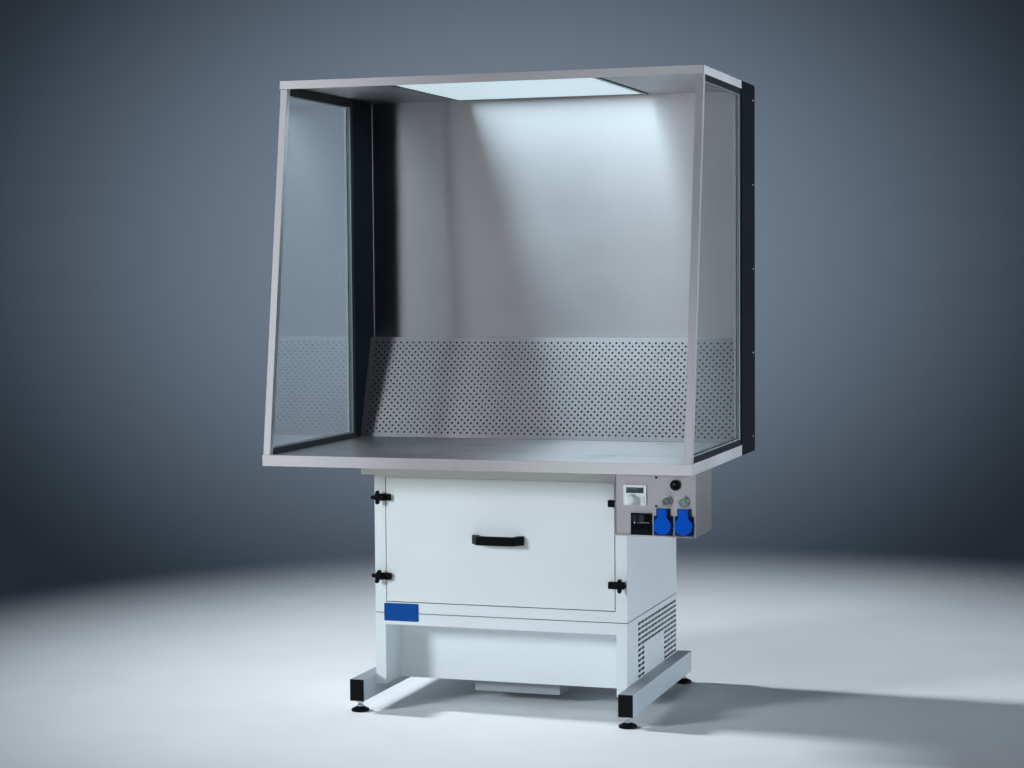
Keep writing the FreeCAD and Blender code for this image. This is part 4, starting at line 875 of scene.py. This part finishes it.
window_middle.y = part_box("filter_monitor")[0].y + window_recess
window = block("monitor_window", window_middle - window_size / 2 - Vector((0, window_thickness, 0)),
               window_middle + window_size / 2)
round_edges(window, window_round, segments=2)
fix(window, smoked)
print_plane = window_middle - Vector((0, window_thickness, 0))
ticks = []
for number in range(tick_count):
    spot = print_plane + scale_offset + Vector(((number - (tick_count - 1) / 2) * tick_pitch, 0, 0))
    half = Vector((tick_wide, tick_depth, tick_tall[number % 2])) / 2
    tick = block("tick", spot - half, spot + half)
    round_edges(tick, tick_round, segments=1)
    ticks.append(tick)
fix(joined("monitor_scale", ticks), print_grey)
lamp_piece = turned("monitor_lamp", print_plane + lamp_offset, lamp_dome, sides=24, towards_front=True)
fix(lamp_piece, white_plastic)


# Push-buttons: screwed bezels with a black, a clear and a green cap that spring back.
# The bezels are turned brass, chromed, the black one's coated; the caps are moulded acrylic.
smooth_cap = ((0.0042, 0), (0.0042, 0.0260), (0.0100, 0.0260), (0.0106, 0.0266), (0.0106, 0.0322),
              (0.0103, 0.0336), (0.0096, 0.0347), (0.0084, 0.0354), (0.0066, 0.0358), (0.0042, 0.03595),
              (0.0016, 0.0360))
ringed_cap = smooth_cap[:5] + ((0.0102, 0.0340), (0.0092, 0.0350), (0.0086, 0.0344), (0.0078, 0.0353),
                               (0.0071, 0.0346), (0.0062, 0.0356), (0.0054, 0.0349), (0.0044, 0.0358),
                               (0.0034, 0.0351), (0.0022, 0.0360))
black_gloss = grained("black gloss cap", (0.001, 0.001, 0.002), (0.002, 0.002, 0.003), (0.05, 0.12),
                      400, 0.00001, specular=0.25)
clear_lens = grained("clear lens", (0.05, 0.055, 0.055), (0.36, 0.39, 0.40), (0.05, 0.14), 300, 0.0002)
green_lens = grained("green lens", (0.10, 0.21, 0.16), (0.36, 0.56, 0.48), (0.05, 0.14), 300, 0.0002)
bezel_finish = grained("bezel finish", (0.70, 0.71, 0.72), (0.80, 0.81, 0.82), (0.04, 0.12), 300, 0.000005,
                       metallic=1.0)
tinted(bezel_finish, shade_and_coat_black, ("Z", (middle("button_black").z + middle("button_clear").z) / 2, "above"))
dress(bezel_finish, "button_bodies")
for colour, profile, finish, slot in (("black", smooth_cap, black_gloss, "black_plastic"),
                                      ("clear", ringed_cap, clear_lens, "clear_lens"),
                                      ("green", ringed_cap, green_lens, "green_lens")):
    spot = middle("button_" + colour)
    spot.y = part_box("button_" + colour)[1].y
    cap = turned("button_cap_" + colour, spot, profile, sides=64, towards_front=True)
    fix(cap, finish, colour + "_button")
    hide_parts("button_" + colour)


# Sockets: two square blue flanges with keyhole shaped lids that hinge on a steel pin and spring shut.
# Moulded nylon, the flanges a darker blue than the lids.
lid_radius = 0.0235
lid_thickness = 0.0050
neck_width = 0.0254
hinge_rise = 0.0400
hinge_out = 0.0100
knuckle_radius = 0.0040
lid_round = 0.0009
pin_radius = 0.0019
pin_short = 0.0156
pin_chamfer = 0.0004
flange_blue = grained("dark blue moulding", (0.004, 0.018, 0.075), (0.006, 0.026, 0.10), (0.34, 0.48),
                      1000, 0.00004, specular=0.15)
lid_blue = grained("bright blue moulding", (0.0, 0.078, 0.50), (0.0, 0.098, 0.60), (0.36, 0.50),
                   1000, 0.00005, specular=0.12)
dress(flange_blue, "socket_bodies")
lid_low, lid_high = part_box("socket_lid_left")
lid_middle = Vector(((lid_low.x + lid_high.x) / 2, lid_low.y, lid_low.z + lid_radius))
hinge = Vector((lid_middle.x, plate_low.y - hinge_out, lid_middle.z + hinge_rise))
lid = turned("first_lid", lid_middle + Vector((0, lid_thickness, 0)),
             ((lid_radius, 0), (lid_radius, lid_thickness)), sides=72, towards_front=True)
neck = block("neck", (lid_middle.x - neck_width / 2, lid_low.y, lid_middle.z),
             (lid_middle.x + neck_width / 2, lid_low.y + lid_thickness, hinge.z + knuckle_radius))
fuse(lid, neck)
arm = block("arm", (lid_middle.x - neck_width / 2, lid_low.y + lid_thickness / 2, hinge.z - knuckle_radius),
            (lid_middle.x + neck_width / 2, hinge.y + knuckle_radius, hinge.z + knuckle_radius))
fuse(lid, arm)
round_edges(lid, lid_round)
pin_length = lid_high.x - lid_low.x - pin_short
pin = turned("first_pin", (0, 0, 0), ((pin_radius * tip_share, 0), (pin_radius, pin_chamfer),
                                      (pin_radius, pin_length - pin_chamfer),
                                      (pin_radius * tip_share, pin_length)), sides=24)
pin.data.transform(Matrix.Translation(hinge - Vector((pin_length / 2, 0, 0)))
                   @ Matrix.Rotation(math.radians(90), 4, "Y"))
for side in ("left", "right"):
    place = Matrix.Translation((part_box("socket_lid_" + side)[0].x - lid_low.x, 0, 0))
    cover = copied(lid, "socket_cover_" + side, place)
    fix(cover, lid_blue, side + "_lid")
    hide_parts("socket_lid_" + side)
    fix(copied(pin, "socket_pin_" + side, place), zinc, side + "_lid")
for pattern in (lid, pin):
    bpy.data.objects.remove(pattern)


# Cable gland: a black moulded gland in the rear of the control box for the supply.
# Nylon with a ribbed dome nut.
dress(black_nylon, "cable_gland")


# Camera: where the photograph was taken from, fitted to the bench's edges.
# It stands at the front right, at the height of the hood, with a longish lens.
camera_place = (1.7996, -5.5578, 1.2106)
camera_azimuth = math.radians(18.087)
camera_elevation = math.radians(3.0209)
camera_roll = math.radians(-0.4161)
focal_length = 72.895
sensor_width = 36.0
back = Vector((math.sin(camera_azimuth) * math.cos(camera_elevation),
               -math.cos(camera_azimuth) * math.cos(camera_elevation), math.sin(camera_elevation)))
level = Vector((math.cos(camera_azimuth), math.sin(camera_azimuth), 0))
upward = back.cross(level)
right = level * math.cos(camera_roll) + upward * math.sin(camera_roll)
up = upward * math.cos(camera_roll) - level * math.sin(camera_roll)
lens = bpy.data.cameras.new("camera")
lens.sensor_fit = "HORIZONTAL"
lens.sensor_width = sensor_width
lens.lens = focal_length
camera = bpy.data.objects.new("camera", lens)
camera.matrix_world = Matrix.Translation(camera_place) @ Matrix((right, up, back)).transposed().to_4x4()
bpy.context.scene.collection.objects.link(camera)
bpy.context.scene.camera = camera
bpy.context.scene.view_settings.view_transform = "Standard"


# Floor: a wide pale disc that the bench stands on and that fades into the background.
# It is no part of the bench.
floor_radius = 9.0
pool_centre = Vector((0.3, 0.55, 0))
fade_start = 0.9
fade_end = 3.0
bpy.ops.object.select_all(action="DESELECT")
bpy.ops.mesh.primitive_circle_add(vertices=128, radius=floor_radius, fill_type="NGON", location=(0, 0, 0))
floor = bpy.context.object
floor.name = "floor"
floor_paint = grained("pale floor", (0.82, 0.84, 0.85), (0.88, 0.90, 0.91), (0.75, 0.90), 220, 0.0004)
distance = add_node(floor_paint, "VectorMath", {0: object_place(floor_paint), 1: pool_centre},
                    operation="DISTANCE").outputs["Value"]
fade = add_node(floor_paint, "MapRange", {"Value": distance, "From Min": fade_start, "From Max": fade_end},
                interpolation_type="SMOOTHSTEP").outputs["Result"]
solid = shader_of(floor_paint).outputs["BSDF"]
clear = add_node(floor_paint, "BsdfTransparent").outputs["BSDF"]
faded = add_node(floor_paint, "MixShader", {"Fac": fade, 1: solid, 2: clear}).outputs["Shader"]
connect(floor_paint, floor_paint.node_tree.nodes["Material Output"], {"Surface": faded})
coat(floor, floor_paint)


# Studio light: a soft lamp from the front left with a weak fill, one from the left that throws the long
# shadow with another that lights only the floor, weak ones from the right and the rear, plain cards for the
# steel and the glass to mirror, and a dark blue grey background that is lit behind the bench.
daylight = (0.87, 0.94, 1.0)
cool = (0.78, 0.90, 1.0)


def soft_lamp(name, place, aim, width, height, power, colour, lights=True, mirrored=False):
    """A large rectangular lamp that looks at a point: it lights plain surfaces, is mirrored, or both."""
    lamp = bpy.data.lights.new(name, "AREA")
    lamp.shape = "RECTANGLE"
    lamp.size = width
    lamp.size_y = height
    lamp.energy = power
    lamp.color = colour
    holder = bpy.data.objects.new(name, lamp)
    holder.location = place
    holder.rotation_euler = (Vector(place) - Vector(aim)).to_track_quat("Z", "Y").to_euler()
    holder.visible_camera = False
    holder.visible_diffuse = lights
    holder.visible_glossy = mirrored
    holder.visible_transmission = False
    bpy.context.scene.collection.objects.link(holder)
    return holder


def card(name, place, width, height, power, colour):
    """A white card that only the polished surfaces show."""
    return soft_lamp(name, place, (0, 0, place[2]), width, height, power, colour, lights=False, mirrored=True)


soft_lamp("front_lamp", (-3.5, -3.9, 1.75), (0, 0, 0.7), 1.0, 0.9, 208, daylight)
soft_lamp("front_fill", (1.9, -5.6, 0.75), (0, 0, 0.5), 1.6, 1.0, 34, daylight)
left_place = (-20.0, 0.9, 8.9)
soft_lamp("left_lamp", left_place, (0, 0, 0.3), 1.9, 1.9, 1500, daylight)
floor_lamp = soft_lamp("floor_lamp", left_place, (0, 0, 0.3), 1.9, 1.9, 5000, daylight)
floor_only = bpy.data.collections.new("floor_only")
floor_only.objects.link(floor)
floor_lamp.light_linking.receiver_collection = floor_only
soft_lamp("right_lamp", (4.2, 0.0, 0.18), (0.3, 0, 0.45), 2.4, 0.3, 75, cool)
soft_lamp("rear_lamp", (-1.5, 5.0, 2.5), (0, 0, 0.8), 2.0, 2.0, 12, daylight)
card_left = card("card_left", (-3.5, -5.6, 2.8), 1.9, 5.8, 50, daylight)
card_left.visible_transmission = True
card("card_middle", (-2.2, -6.2, 1.3), 1.1, 2.6, 3.6, daylight)
card("card_near", (-1.1, -6.5, 1.15), 1.25, 2.3, 17, daylight)
card("card_right", (4.0, 0.8, 1.3), 4.8, 2.6, 66, cool)
card("card_rear_left", (-2.8, 5.5, 1.6), 2.6, 3.2, 13, cool)
card("card_rear_right", (4.8, 4.4, 1.6), 2.4, 3.2, 12, cool)
soft_lamp("card_top", (0, 0.4, 6.0), (0, 0.4, 0), 3.0, 3.0, 12, cool, lights=False, mirrored=True)
panel_blue = (0.66, 0.89, 1.0)
panel_gap = 0.001
glow_low, glow_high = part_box("light_diffuser")
glow_middle = middle("light_diffuser")
soft_lamp("panel_light", (glow_middle.x, glow_middle.y, glow_low.z - panel_gap),
          (glow_middle.x, glow_middle.y, 0), glow_high.x - glow_low.x, glow_high.y - glow_low.y, 3.0,
          panel_blue, mirrored=True)
backdrop_dark = (0.016, 0.022, 0.032)
backdrop_light = (0.165, 0.212, 0.278)
backdrop_flatness = 1.4
room_light = (0.064, 0.071, 0.076)
patch_start = 0.06
patch_end = 0.31
patch_rise = 0.065
patch_centre = (up * patch_rise - back).normalized()
world = bpy.data.worlds.new("studio")
world.use_nodes = True
bpy.context.scene.world = world
direction = add_node(world, "TexCoord").outputs["Generated"]
off_centre = add_node(world, "VectorMath", {0: direction, 1: patch_centre},
                      operation="SUBTRACT").outputs["Vector"]
flattened = add_node(world, "VectorMath", {0: off_centre, 1: (1, 1, backdrop_flatness)},
                     operation="MULTIPLY").outputs["Vector"]
away = add_node(world, "VectorMath", {0: flattened}, operation="LENGTH").outputs["Value"]
dim = add_node(world, "MapRange", {"Value": away, "From Min": patch_start, "From Max": patch_end},
               interpolation_type="SMOOTHSTEP").outputs["Result"]
mirrored_ray = add_node(world, "LightPath").outputs["Is Glossy Ray"]
room = add_node(world, "Mix", {"Factor": mirrored_ray, 6: ramp(world, dim, backdrop_light, backdrop_dark),
                               7: (*room_light, 1)}, data_type="RGBA", blend_type="ADD").outputs[2]
connect(world, world.node_tree.nodes["Background"], {"Color": room})
